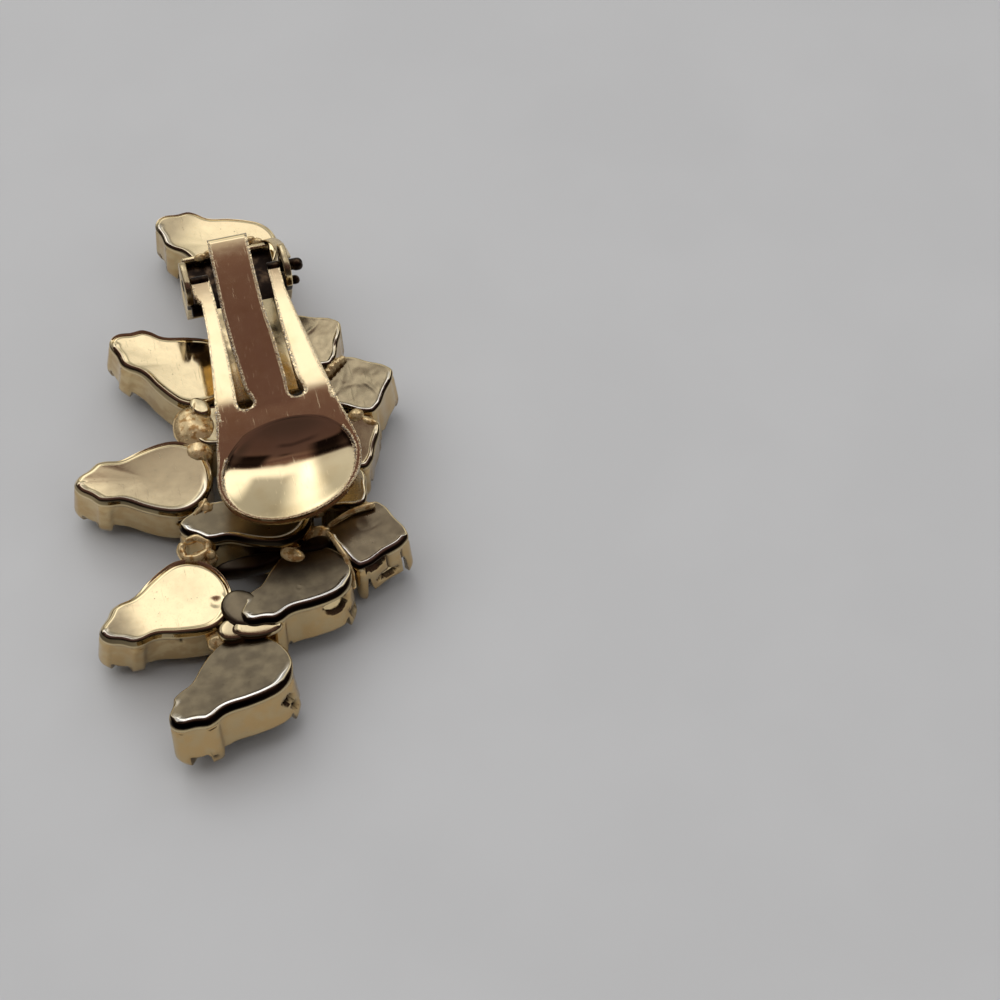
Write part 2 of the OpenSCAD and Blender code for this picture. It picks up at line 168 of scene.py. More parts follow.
# Creases pressed in the backs: x, y, direction in degrees, length, height
CREASES = [
    (-6.10, -24.20, 92, 1.9, 0.022),
    (-5.75, -24.40, 90, 2.2, 0.026),
    (-6.90, -23.75, 100, 0.9, -0.020),
    (5.20, -8.30, 60, 2.2, 0.028),
    (7.00, -9.10, 120, 1.8, 0.024),
    (3.90, -3.60, 30, 2.4, 0.024),
    (4.30, -20.60, 10, 1.4, 0.010),
]
# Holes and seams in the near walls, each painted dark inside as shade: cup, x, y, z, reach along
# the wall, reach up, depth
HOLES = [
    ("cup_square_5", 4.20, -23.40, 4.08, 0.85, 0.58, 0.60),
    ("cup_square_5", 4.85, -23.20, 3.30, 0.12, 0.70, 0.25),
    ("cup_square_5", 4.45, -23.40, 2.10, 0.80, 0.24, 0.40),
    ("cup_square_5", 6.20, -22.60, 2.90, 0.12, 0.80, 0.15),
    ("cup_pear_6", 0.80, -25.45, 3.92, 0.90, 0.52, 0.60),
    ("cup_pear_6", 1.75, -24.60, 2.30, 0.45, 0.36, 0.30),
    ("cup_pear_5", -3.50, -32.10, 3.45, 0.50, 0.30, 0.40),
    ("cup_pear_5", -3.10, -31.50, 2.60, 0.30, 0.30, 0.35),
    ("cup_pear_5", -9.10, -33.90, 2.00, 0.16, 0.20, 0.15),
    ("cup_pear_4", -9.70, -26.60, 3.50, 0.14, 0.25, 0.15),
    ("cup_pear_3", -7.60, -15.80, 3.00, 0.28, 0.20, 0.15),
]
# How much these backs are crumpled, in mm
CRUMPLED = {"cup_square_1": 0.022, "cup_square_2": 0.022, "cup_pear_6": 0.004,
            "cup_square_5": 0.003, "cup_pear_8": 0.018}
# Beads of solder between the cups: x, y, z, radius
BEADS = [
    (-4.3, -8.0, 3.9, 0.62),
    (-5.4, -11.0, 4.1, 0.60),
    (-6.4, -15.9, 3.8, 0.62),
    (-7.2, -26.2, 3.8, 0.85),
    (-5.4, -24.2, 3.8, 0.70),
    (-6.8, -19.8, 4.1, 0.80),
    (-5.1, -26.6, 4.1, 0.62),
    (-0.8, -20.7, 4.0, 0.62),
    (2.0, -22.2, 4.0, 0.66),
    (1.3, -17.5, 3.8, 0.70),
    (1.0, -19.8, 4.1, 0.85),
    (2.2, -12.1, 4.0, 0.62),
    (5.2, -6.4, 4.1, 0.62),
    (1.6, -3.8, 3.9, 0.50),
    (6.1, -11.4, 4.1, 0.62),
    (4.4, -15.4, 4.0, 0.55),
    (4.4, -18.7, 4.1, 0.62),
    (-1.4, -3.4, 3.9, 0.55),
]

# Lumps of solder on and between the cups: x, y, z, three half sizes, turn in degrees
LUMPS = [
    (-5.30, -9.55, 4.20, 1.45, 1.95, 0.50, 8),
    (-5.40, -11.30, 4.15, 1.00, 1.10, 0.46, 0),
    (-1.10, -21.25, 4.15, 0.92, 0.58, 0.36, -42),
    (-6.35, -20.08, 4.50, 0.34, 0.34, 0.34, 0),
    (5.50, -11.40, 4.55, 0.60, 0.50, 0.40, 20),
    (6.30, -12.10, 4.45, 0.70, 0.30, 0.30, -38),
    (-5.91, -16.10, 4.30, 0.45, 0.60, 0.30, 30),
    (-0.50, -5.40, 4.80, 0.45, 0.38, 0.26, 40),
    (1.64, 5.05, 5.00, 0.50, 0.30, 0.36, 15),
    (2.20, 4.75, 5.00, 0.40, 0.34, 0.34, -20),
    (-1.99, 4.25, 5.20, 0.50, 0.30, 0.26, 10),
    (-1.35, 4.40, 5.20, 0.40, 0.30, 0.30, -10),
]
# Flat fillings between the cups, set down below their backs: as the lumps, then how grey,
# and over 1 how dark with painted shade, where they lie low in the gaps between cups
FILLINGS = [
    (-4.60, -8.00, 4.40, 0.60, 0.90, 0.30, 30, 0.25),
    (-5.15, -26.25, 4.30, 1.05, 0.45, 0.30, -8, 0.30),
    (-5.25, -24.75, 4.40, 1.30, 1.60, 0.30, 24, 0.94),
    (-4.60, -26.40, 4.40, 1.70, 0.80, 0.28, -6, 0.30),
    (-6.10, -26.10, 4.10, 1.10, 0.90, 0.40, 0, 0.35),
    (0.60, -20.75, 3.75, 1.15, 0.60, 0.60, 5, 1.75),
    (-4.00, -20.80, 3.30, 2.40, 0.60, 0.60, 0, 1.70),
]
# How level a filling has run, and how fast its top falls away, in mm to a mm
FILLING_FLAT = 3.4
FILLING_LEAN = 0.03
# Runs of solder and wire: points along it, radius at each end, depth of its ribs
RUNS = [
    ([(-7.9, -18.6, 4.35), (-7.0, -18.45, 4.45), (-6.35, -19.0, 4.45), (-6.5, -19.75, 4.4),
      (-7.3, -20.05, 4.35), (-8.1, -19.8, 4.25), (-8.25, -19.1, 4.3), (-7.9, -18.6, 4.35)],
     0.30, 0.30, 0.0),
    ([(4.15, -7.62, 4.45), (4.9, -7.0, 4.6), (5.95, -6.3, 4.45)], 0.36, 0.30, 0.12),
    ([(1.6, -19.75, 4.4), (2.4, -19.5, 4.65), (3.2, -19.22, 4.72), (4.2, -19.10, 4.78),
      (5.05, -19.01, 4.72)], 0.12, 0.27, 0.0),
    ([(-6.9, -16.7, 4.3), (-6.2, -16.2, 4.5), (-5.7, -15.5, 4.4)], 0.14, 0.18, 0.0),
    ([(-6.7, -17.1, 4.1), (-6.0, -16.6, 4.35), (-5.4, -15.9, 4.3)], 0.13, 0.16, 0.0),
    ([(-3.3, -25.9, 4.45), (-3.9, -26.3, 4.5), (-4.4, -26.9, 4.3)], 0.16, 0.20, 0.0),
    ([(1.45, -20.3, 4.7), (1.85, -21.4, 4.7), (2.2, -22.5, 4.6), (2.35, -23.6, 4.25),
      (2.3, -24.4, 3.4)], 0.17, 0.20, 0.0),
    ([(2.3, -5.6, 4.75), (2.5, -6.6, 4.85), (2.4, -7.8, 4.75)], 0.16, 0.22, 0.12),
    ([(2.5, -8.6, 4.7), (2.6, -9.6, 4.8), (2.5, -10.4, 4.7)], 0.22, 0.16, 0.12),
    ([(-4.6, -7.2, 4.5), (-5.0, -7.9, 4.6), (-5.2, -8.7, 4.5)], 0.12, 0.15, 0.0),
]
# The bent brace from the plate's far corner up to the right ear, its half sizes, and how many
# rings it has along its line and points in each
BRACE = [(2.65, 4.75, 5.0), (3.10, 4.45, 5.45), (3.35, 3.50, 6.1), (3.42, 2.20, 6.9),
         (3.42, 0.95, 7.75), (3.38, 0.1, 8.35)]
BRACE_HALF = (0.40, 0.17)
BRACE_RINGS = 24
BRACE_SIDES = 16
# Ends of the right pin, painted dark as a reflection: x, y, z, radius
PIN_HEADS = [(4.05, -0.10, 7.80, 0.44), (3.78, -0.62, 6.85, 0.34)]

# The clip base, as in the part's source
STRIP_Z = 4.3
STRIP_NEAR = -8.4
PLATE_NEAR = -0.3
PLATE_WAIST = 1.3
PLATE_FAR = 4.5
LIP_H = 1.0
HINGE_MID = -0.2
EAR_ROUND = 1.0
EAR_ROUNDS = (-0.5, 0.7)
EAR_BEVEL = 0.09
# Rounding of the stamped edges: strip and plate, lip, stop tab, in mm
BASE_BEVEL = 0.10
LIP_BEVEL = 0.14
TAB_BEVEL = 0.12
# The stop tab: from and to along y, its bottom and top under the hinge axis, and from and to
# along x, measured from the left ear's inside
TAB_Y = (-1.6, -1.18)
TAB_LOW = 1.7
TAB_HIGH = 0.6
TAB_X = (-0.2, 0.77)
# What gets the hinge's painted shade: how far out past the plate, from which y, or from which x
# on
SHADE_OUT = 0.15
SHADE_NEAR = -1.9
SHADE_RIGHT = 1.0
# What keeps its gold there, without painted shade: the lip's top in this band, and the brace from
# this x and y on
LIP_BAND = 0.47
BRACE_FROM = (2.9, 0.9)
# The stretch of the lip that is painted with shade all over, and the tab's from and to along y
SHUT_BAND = 0.6
SHUT_X = (1.2, 2.85)
TAB_SHADE = (-1.7, -1.1)

# Edges of the clip's legs: y, outer left, inner left, inner right, outer right
LEGS = [
    (0.25, -3.35, -2.10, 2.00, 2.85),
    (-1.50, -3.35, -2.05, 2.00, 2.85),
    (-1.90, -3.00, -2.05, 1.98, 2.82),
    (-4.40, -3.12, -2.10, 1.90, 3.15),
    (-7.20, -3.42, -2.18, 1.90, 3.56),
    (-9.60, -3.74, -2.32, 1.98, 3.90),
]
SHOULDERS = [(-12.70, -4.22, 4.38), (-14.60, -4.62, 4.80), (-16.60, -4.86, 4.70)]
# Both outer edges all the way down, in rows like those of the legs
OUTER_EDGES = LEGS + [(y, left, 0, 0, right) for y, left, right in SHOULDERS]
TONGUE = [(2.95, -1.60, 1.18), (-0.10, -1.72, 1.08), (-3.50, -1.84, 1.03), (-6.50, -1.80, 1.18),
          (-9.60, -1.66, 1.22)]
# Round feet of the two slits: x, y, radius
SLIT_FEET = [(-1.85, -10.80, 0.55), (1.68, -10.60, 0.53)]
PAD_MID_X = -0.06
PAD_TURN = math.radians(17)
# How far the dish's lowest point lies towards the legs from the pad's middle
DISH_OFF = 1.1
# Width of the flat rim round the dish on the pad's near side, in mm
NEAR_RIM = 0.20
# How softly the dish starts, and its rings from the rim in to its middle
DISH_SOFT = 0.11
DISH_RINGS = [1.0, 0.97, 0.94, 0.90, 0.85, 0.78, 0.70, 0.61, 0.52, 0.43, 0.34, 0.25, 0.16, 0.08]
# Rings from the pad's outline in to the rim
PAD_RINGS = [0.0, 0.12, 0.3, 0.5, 0.7, 0.86, 0.94]
# Columns of points across each strip of the sheet
COLUMNS = {"left": 7, "tongue": 13, "right": 7}
# Rounding of the sheet's edges, and how far in from them the sheared metal shows
SHEET_BEVEL = 0.11
EDGE_REACH = 0.13
# How softly the sheet bends between its legs and its pad
BEND_SOFT = 0.7
# How much the legs curl up over their last part, and how long that is
LEG_CURL = 0.0044
CURL_LEN = 5.0
# Heights of the sheet's upper side over the hinge axis, and its slopes
LEG_TOP = 0.24
FOOT_Y = -10.6
PAD_DROP = 0.0635
TONGUE_TOP = 0.895
TONGUE_RISE = TONGUE_TOP / -FOOT_Y
TAIL_START = -0.02
TAIL_TOP = 1.075
TAIL_DROP = 0.95
TAIL_FOLD = [(0.50, 0.0), (0.28, 0.06), (0.10, 0.22), (0.0, 0.50)]
# The line across the sheet where the two slits end and the pad begins
CHORD_Y = -11.75
# Radius of a leg's rolled top, and points round it
KNUCKLE = 0.45
PIN_SIDES = 32

# The two lights: name, place, size and share of the soft light's power
LIGHTS = [
    ("soft_light", (-0.34, 0.28, 0.80), 1.30, 1.0),
    ("fill_light", (0.42, -0.26, 0.70), 1.10, 0.36),
]
FLOOR_HALF = 0.9
# Where the camera looks, and its place from there
CAMERA_AIM = (17.00, -5.19, -0.2)
CAMERA_FROM = (-34.47, -133.27, 196.60)
SENSOR = 36

# The studio's dome: degrees up from the far horizon and over to the near one, and its light
SKY = [
    (0, (0.26, 0.26, 0.25)), (14, (0.34, 0.34, 0.33)), (24, (0.90, 0.92, 0.94)),
    (36, (1.20, 1.23, 1.30)), (50, (1.40, 1.44, 1.56)), (55.5, (1.28, 1.30, 1.42)),
    (59.0, (0.170, 0.105, 0.100)), (61.5, (0.115, 0.065, 0.066)), (64.5, (0.155, 0.098, 0.095)),
    (70, (0.095, 0.058, 0.060)), (88, (0.080, 0.048, 0.052)), (112, (0.055, 0.035, 0.038)),
    (122, (0.020, 0.015, 0.016)), (164, (0.030, 0.027, 0.028)), (180, (0.30, 0.30, 0.31)),
]
# The dome's colour at both sides, and how far across it starts and is reached
SKY_SIDE = (0.045, 0.032, 0.034)
SIDE_FROM = 0.52
SIDE_FULL = 0.64
# The dome's far side, and how much the bright part's edge rises to both sides
SKY_FAR = (0.200, 0.980)
SKY_LEAN = -0.065
# Patches on the dome: from and to in degrees up, from and to across, and how bright against it
SKY_PATCHES = [
    (27, 51, -0.07, 0.30, 0.34),
    (27, 62, -0.52, -0.25, 0.42),
    (20, 57, -0.215, -0.14, 1.45),
    (58.5, 78, -0.50, -0.24, 0.06),
    (57.5, 73, 0.26, 0.60, 0.08),
    (67, 72, -0.03, 0.13, 0.50),
    (84, 90, -0.26, 0.22, 0.55),
]
# How softly a patch ends, in half turns up and across
PATCH_SOFT = (0.014, 0.07)

# Colours of the plating: amber, a deeper gold that is also painted shade on the walls; rubbed;
# pitted; and black painted shade
AMBER_WALL_SHADE = (0.60, 0.41, 0.19)
RUBBED = (0.84, 0.79, 0.70)
PITTED = (0.09, 0.06, 0.04)
# Nearly black painted shade for the dark lines under the rims, the holes and the low gaps
PAINTED_SHADE = (0.016, 0.010, 0.008)
# Colours of the sheet's sheared edges, and of the painted shade in the hinge's inside and on its
# pins
BURR = (0.98, 0.88, 0.70)
BURR_GAP = (0.22, 0.14, 0.08)
HINGE_SHADE_DARK = (0.022, 0.014, 0.010)
HINGE_SHADE_BROWN = (0.13, 0.08, 0.045)


# Sizes and colours that a user would change


def length_setting(name, description, mm):
    return bpy.props.FloatProperty(
        name=name, description=description, default=mm * MM, precision=5, unit="LENGTH")


def colour_setting(name, description, value):
    return bpy.props.FloatVectorProperty(
        name=name, description=description, size=3, subtype="COLOR", default=value)


class CupSettings(bpy.types.PropertyGroup):
    depth: length_setting("Cup depth", "From a cup's back to its rim", 3.3)
    back: length_setting("Back thickness", "Thickness of a cup's closed back", 0.5)
    prong_reach: length_setting("Prong reach", "How far a prong reaches past the rim", 0.75)
    prong_width: length_setting("Prong width", "Width of a prong's column on the wall", 0.95)
    relief: length_setting("Wall relief", "How far the wall stands back between the prongs",
                           0.13)
    lip: length_setting("Back lip", "Height of the raised edge round a cup's back", 0.06)
    slot: length_setting("Slot depth", "Depth of the slots beside a prong, from the rim", 1.25)
    flare: bpy.props.FloatProperty(
        name="Rim flare", description="How much wider a cup is at its rim than at its back",
        default=1.035)


class StoneSettings(bpy.types.PropertyGroup):
    crown: length_setting("Crown height", "Height of a stone's crown over its cup's rim", 1.15)
    table: bpy.props.FloatProperty(
        name="Table", description="Size of the table against the girdle", default=0.56)
    gap: length_setting("Gap", "Gap between a stone and its cup", 0.18)


class ClipSettings(bpy.types.PropertyGroup):
    sheet: length_setting("Sheet thickness", "Thickness of the clip's sheet", 0.45)
    pad_width: length_setting("Pad width", "Longest width of the clip's pad", 10.1)
    pad_length: length_setting("Pad length", "Size of the pad across its width", 7.9)
    pad_reach: length_setting("Pad reach", "From the hinge axis to the pad's centre", 16.3)
    dish: length_setting("Dish depth", "Depth of the dish pressed into the pad", 0.85)
    dish_rim: length_setting("Dish rim", "Width of the flat rim left round the dish", 0.45)
    pin: length_setting("Pin radius", "Radius of the hinge pins", 0.4)
    pin_out: length_setting("Pin end", "How far the right pin stands out of its ear", 1.0)
    ear_gap: length_setting("Ear gap", "Distance between the insides of the two ears", 6.5)
    ear: length_setting("Ear thickness", "Thickness of an ear", 0.45)
    base_width: length_setting("Strip width", "Width of the strip that is soldered to the cups",
                               4.6)
    base: length_setting("Strip thickness", "Thickness of the strip and hinge plate", 0.5)


class FinishSettings(bpy.types.PropertyGroup):
    gold: colour_setting("Gold plate", "Colour of the cups' clean plating", (0.93, 0.74, 0.415))
    worn: colour_setting("Worn plate", "Colour of the plating where it has gone grey",
                         (0.124, 0.096, 0.063))
    clip: colour_setting("Clip gold", "Colour of the clip's plating", (0.95, 0.755, 0.43))
    crystal: colour_setting("Crystal", "Colour of the cut stones", (0.98, 0.98, 1.0))


class StageSettings(bpy.types.PropertyGroup):
    floor: colour_setting("Floor", "Colour of the surface that the earring lies on",
                          (0.596, 0.600, 0.594))
    lens: bpy.props.FloatProperty(
        name="Lens", description="Focal length of the camera, in millimetres",
        default=126.144)
    key: bpy.props.FloatProperty(
        name="Soft light", description="Power of the large soft light", default=6.3,
        unit="POWER")


# Small helpers for shapes


def design(x, y, z=0.0):
    """A point of the part's own layout, moved to its place in the frame."""
    return np.array([x, y, z]) + SHIFT


def turned(degrees, axis):
    return np.array(Matrix.Rotation(math.radians(degrees), 3, axis))


def ramp(value, low, high):
    """Smooth step from 0 at low to 1 at high."""
    t = np.clip((np.asarray(value, float) - low) / (high - low), 0, 1)
    return t * t * (3 - 2 * t)


def smooth_loop(points, count):
    """Even points on a smooth closed curve through these rows, spaced by their first two."""
    p = np.asarray(points, float)
    fine_steps = 24
    n = len(p)
    step = np.linalg.norm(np.roll(p, -1, 0)[:, :2] - p[:, :2], axis=1)
    before = np.roll(step, 1)
    slope = (np.roll(p, -1, 0) - p) / step[:, None]
    tangent = (slope * before[:, None] + np.roll(slope, 1, 0) * step[:, None])
    tangent /= (step + before)[:, None]
    rows = []
    for i in range(n):
        j = (i + 1) % n
        t = np.linspace(0, 1, fine_steps, endpoint=False)[:, None]
        d = step[i]
        rows.append((2 * t**3 - 3 * t**2 + 1) * p[i] + (t**3 - 2 * t**2 + t) * d * tangent[i]
                    + (3 * t**2 - 2 * t**3) * p[j] + (t**3 - t**2) * d * tangent[j])
    fine = np.concatenate(rows)
    gaps = np.linalg.norm(np.roll(fine, -1, 0)[:, :2] - fine[:, :2], axis=1)
    along = np.concatenate([[0], np.cumsum(gaps)])
    closed = np.concatenate([fine, fine[:1]])
    wanted = np.linspace(0, along[-1], count, endpoint=False)
    out = np.stack([np.interp(wanted, along, closed[:, k]) for k in range(p.shape[1])], axis=1)
    knots = along[::fine_steps][:n]
    return out, wanted, knots, along[-1]


def ring_faces(count, size, closed_stack=False):
    """Quads between rings of points, each ring as long as the others."""
    faces = []
    for k in range(count if closed_stack else count - 1):
        a, b = k * size, ((k + 1) % count) * size
        for i in range(size):
            j = (i + 1) % size
            faces.append((a + i, a + j, b + j, b + i))
    return faces


def tube_faces(count, size):
    """Quads between rings of points, and a face over each end."""
    return ring_faces(count, size) + [tuple(range(size)),
                                      tuple(range((count - 1) * size, count * size))]


def resampled(path, along, wanted, soften):
    """Points of a path at the wanted places along it, with its corners softened."""
    line = np.stack([np.interp(wanted, along, path[:, k]) for k in range(3)], axis=1)
    for _ in range(soften):
        line[1:-1] = (line[:-2] + 2 * line[1:-1] + line[2:]) / 4
    return line


def ray_to(line, centre, angle):
    """Distance from the centre to a polyline along one direction, or 0."""
    d = np.array([math.cos(angle), math.sin(angle)])
    best = 0.0
    for p, q in zip(line[:-1], line[1:]):
        p, e = p - centre, q - p
        cross = d[0] * e[1] - d[1] * e[0]
        if abs(cross) < 1e-9:
            continue
        r = (p[0] * e[1] - p[1] * e[0]) / cross
        s = (p[0] * d[1] - p[1] * d[0]) / cross
        if r > 0 and -1e-6 <= s <= 1 + 1e-6:
            best = max(best, r)
    return best


def rumple(points, scale, seed):
    """One smooth noise value for each point, between about -1 and 1."""
    move = Vector((seed * 7.31, seed * 3.17, seed * 1.93))
    return np.array([noise.noise(Vector(p) * scale + move) for p in points])


def make_piece(name, points, faces, material, body, worn=None, edge=None, painted_shade=None,
               amber_wall_shade=None, smooth=True):
    """A mesh object from points in millimetres of the frame, with its wear and painted shade at
    each point.
    """
    mesh = bpy.data.meshes.new(name)
    mesh.from_pydata([tuple(p * MM) for p in np.asarray(points)], [], faces)
    mesh.validate()
    bm = bmesh.new()
    bm.from_mesh(mesh)
    bmesh.ops.recalc_face_normals(bm, faces=bm.faces)
    bm.to_mesh(mesh)
    bm.free()
    for label, values in (("worn", worn), ("edge", edge), ("painted_shade", painted_shade), ("amber_wall_shade", amber_wall_shade)):
        if values is not None:
            layer = mesh.attributes.new(label, "FLOAT", "POINT")
            layer.data.foreach_set("value", np.asarray(values, np.float32))
    for polygon in mesh.polygons:
        polygon.use_smooth = smooth
    mesh.materials.append(material)
    obj = bpy.data.objects.new(name, mesh)
    bpy.context.scene.collection.objects.link(obj)
    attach(obj, body)
    return obj


# Materials


class Nodes:
    """Adds nodes to a node tree and joins them."""

    def __init__(self, tree):
        self.tree = tree

    def feed(self, socket, value):
        """Joins another node's output to a socket, or writes a plain value to it."""
        if isinstance(value, bpy.types.NodeSocket):
            self.tree.links.new(value, socket)
        elif socket.type == "RGBA":
            socket.default_value = (*value[:3], 1.0)
        else:
            socket.default_value = value

    def add(self, kind, inputs=(), **settings):
        node = self.tree.nodes.new(kind)
        for key, value in settings.items():
            setattr(node, key, value)
        for socket, value in dict(inputs).items():
            self.feed(node.inputs[socket], value)
        return node

    def between(self, value, low, high, out_low=0.0, out_high=1.0):
        return self.add("ShaderNodeMapRange", {
            "Value": value, "From Min": low, "From Max": high, "To Min": out_low,
            "To Max": out_high}, interpolation_type="SMOOTHSTEP").outputs["Result"]

    def math(self, operation, a, b=0.0):
        return self.add("ShaderNodeMath", {0: a, 1: b}, operation=operation).outputs[0]

    def mix(self, factor, a, b):
        return self.add("ShaderNodeMix", {0: factor, 6: a, 7: b}, data_type="RGBA").outputs[2]


class Surface(Nodes):
    """The nodes of one new material."""

    def __init__(self, name):
        self.material = bpy.data.materials.new(name)
        self.material.use_nodes = True
        super().__init__(self.material.node_tree)
        self.shader = self.tree.nodes["Principled BSDF"]
        self.where = self.add("ShaderNodeTexCoord").outputs["Object"]

    def scaled(self, scale, turn=(0, 0, 0)):
        """Object coordinates in millimetres, stretched by scale and turned."""
        per_mm = tuple(s / MM for s in scale)
        return self.add("ShaderNodeMapping", {
            "Vector": self.where, "Scale": per_mm, "Rotation": turn}).outputs["Vector"]

    def noise(self, scale, detail=2.0, turn=(0, 0, 0), rough=0.5):
        size = (scale,) * 3 if isinstance(scale, (int, float)) else scale
        return self.add("ShaderNodeTexNoise", {
            "Vector": self.scaled(size, turn), "Scale": 1.0, "Detail": detail,
            "Roughness": rough}).outputs["Fac"]

    def layer(self, label):
        return self.add("ShaderNodeAttribute", attribute_name=label).outputs["Fac"]

    def set(self, socket, value):
        self.feed(self.shader.inputs[socket], value)

    def bump(self, heights):
        """Bumps from pairs of height value and depth in millimetres, one after another."""
        normal = None
        for height, depth in heights:
            node = self.add("ShaderNodeBump", {"Height": height, "Distance": depth * MM,
                                               "Strength": 1.0})
            if normal is not None:
                self.feed(node.inputs["Normal"], normal)
            normal = node.outputs["Normal"]
        self.set("Normal", normal)


def shaded(colour, parts):
    """A colour with each of its channels scaled."""
    return tuple(c * part for c, part in zip(colour, parts))


def scratches(n, scale, turn, low=0.70):
    """Fine lines of wear: noise drawn out along one direction, kept where it is highest."""
    lines = n.noise((scale, scale * 0.05, scale), detail=1.0, turn=(0, 0, math.radians(turn)))
    return n.between(lines, low, low + 0.06)


def plated_metal(name, clean, worn, roughness, patchy=0.10):
    """Gold plating with grey wear, patches of tarnish, fine scratches and pits, and painted
    shade: darker amber on the walls, black in dark lines, holes and gaps.
    """
    n = Surface(name)
    patches = n.between(n.noise(0.55, 3.0), 0.42, 0.72, 0.0, patchy)
    age = n.math("MAXIMUM", patches, n.layer("worn"))
    blotch = n.between(n.noise(0.9, 4.0), 0.30, 0.70, 0.90, 1.0)
    age = n.math("MULTIPLY", age, blotch)
    fine = n.noise(7.0, 3.0)
    colour = n.mix(age, clean, worn)
    bare = n.math("SUBTRACT", 1.0, age)
    tint = n.math("MULTIPLY", n.between(fine, 0.56, 0.78, 0.0, 0.28), bare)
    colour = n.mix(tint, colour, shaded(clean, (0.86, 0.66, 0.45)))
    rubbed = n.math("MULTIPLY", n.layer("edge"),
                    n.between(n.noise(2.2, 3.0), 0.25, 0.45, 0.6, 1.0))
    colour = n.mix(rubbed, colour, RUBBED)
    pits = n.add("ShaderNodeTexVoronoi", {"Vector": n.scaled((3.2, 3.2, 3.2)), "Scale": 1.0})
    pit = n.between(pits.outputs["Distance"], 0.06, 0.13, 1.0, 0.0)
    pit = n.math("MULTIPLY", pit, n.between(n.noise(0.8, 1.0), 0.55, 0.68))
    colour = n.mix(n.math("MULTIPLY", pit, 0.55), colour, PITTED)
    # Painted shade on the walls: a darker amber, with a deeper gold tone
    shade_paint = n.math("MULTIPLY", n.layer("amber_wall_shade"),
                   n.between(n.noise(1.1, 4.0), 0.35, 0.65, 0.35, 0.95))
    colour = n.mix(shade_paint, colour, AMBER_WALL_SHADE)
    # Black painted shade
    colour = n.mix(n.layer("painted_shade"), colour, PAINTED_SHADE)
    n.set("Base Color", colour)
    n.set("Metallic", 1.0)
    marks = n.math("MAXIMUM", scratches(n, 9.0, 24, 0.69), scratches(n, 8.0, 71, 0.71))
    rough = n.math("ADD", n.between(n.noise(1.6, 3.0), 0.3, 0.75, roughness * 0.7,
                                    roughness * 1.5), n.math("MULTIPLY", age, 0.27))
    n.set("Roughness", n.math("ADD", rough, n.math("MULTIPLY", marks, 0.08)))
    n.bump([(n.noise(0.8, 2.0), 0.0025), (fine, 0.0003), (marks, -0.0006), (pit, -0.006)])
    return n.material


def clip_metal(name, clean):
    """Bright stamped sheet with scratches, and rough pale metal along its sheared edges."""
    n = Surface(name)
    edge = n.layer("edge")
    grain = n.noise(11.0, 4.0, rough=0.65)
    burr = n.math("MULTIPLY", edge, n.between(grain, 0.48, 0.60))
    gap = n.math("MULTIPLY", edge, n.between(n.noise(4.5, 2.0), 0.42, 0.52, 0.7, 0.0))
    patches = n.between(n.noise(0.45, 3.0), 0.45, 0.75, 0.0, 0.45)
    colour = n.mix(patches, clean, shaded(clean, (0.86, 0.78, 0.66)))
    colour = n.mix(gap, colour, BURR_GAP)
    colour = n.mix(burr, colour, BURR)
    n.set("Base Color", colour)
    n.set("Metallic", 1.0)
    marks = n.math("MAXIMUM", scratches(n, 10.0, 12, 0.70), scratches(n, 8.5, 96, 0.71))
    rough = n.between(n.noise(1.3, 3.0), 0.3, 0.75, 0.035, 0.075)
    rough = n.math("ADD", rough, n.math("MULTIPLY", marks, 0.07))
    n.set("Roughness", n.math("ADD", rough, n.math("MULTIPLY", burr, 0.30)))
    n.bump([(n.noise(0.6, 2.0), 0.0025), (marks, -0.0006), (burr, 0.020)])
    return n.material


def solder_metal(name, clean):
    """Solder under the plating: lumpy, with darker flux in its hollows."""
    n = Surface(name)
    lumps = n.noise(2.6, 3.0)
    clean = shaded(clean, (0.92, 0.86, 0.78))
    n.set("Base Color", n.mix(n.between(lumps, 0.36, 0.52), shaded(clean, (0.6, 0.45, 0.3)),
                              clean))
    n.set("Metallic", 0.72)
    n.set("Roughness", n.between(n.noise(5.0, 3.0), 0.3, 0.7, 0.14, 0.28))
    n.bump([(n.noise(1.5, 2.0), 0.012), (n.noise(6.0, 3.0), 0.0015)])
    return n.material


def hinge_shade_metal(name):
    """Painted shade for the inside of the hinge and the pins: dark brown standing in for their
    shade and dark reflections.
    """
    n = Surface(name)
    shade_paint = n.noise(1.4, 4.0)
    n.set("Base Color", n.mix(n.between(shade_paint, 0.46, 0.76), HINGE_SHADE_DARK, HINGE_SHADE_BROWN))
    n.set("Metallic", 1.0)
    n.set("Roughness", n.between(shade_paint, 0.3, 0.7, 0.45, 0.28))
    n.bump([(n.noise(4.0, 3.0), 0.012)])
    return n.material


def cut_crystal(name, colour):
    """Clear cut glass with faint polishing marks."""
    n = Surface(name)
    n.set("Base Color", colour)
    n.set("Transmission Weight", 1.0)
    n.set("IOR", 1.55)
    n.set("Roughness", n.between(n.noise(3.0, 2.0), 0.4, 0.8, 0.0, 0.05))
    n.bump([(n.noise(6.0, 2.0), 0.0006)])
    return n.material


def material(name):
    """The named material, made the first time it is asked for."""
    found = bpy.data.materials.get(name)
    if found:
        return found
    finish = bpy.context.scene.earring_finish
    gold, worn, clip, crystal = (tuple(value) for value in (finish.gold, finish.worn, finish.clip,
                                                            finish.crystal))
    makers = {
        "cup_gold": lambda: plated_metal(name, gold, worn, 0.065),
        "base_gold": lambda: plated_metal(name, gold, worn, 0.20, patchy=0.6),
        "clip_gold": lambda: clip_metal(name, clip),
        "solder_gold": lambda: solder_metal(name, gold),
        "hinge_shade": lambda: hinge_shade_metal(name),
        "cut_crystal": lambda: cut_crystal(name, crystal),
    }
    return makers[name]()


# Cups and stones


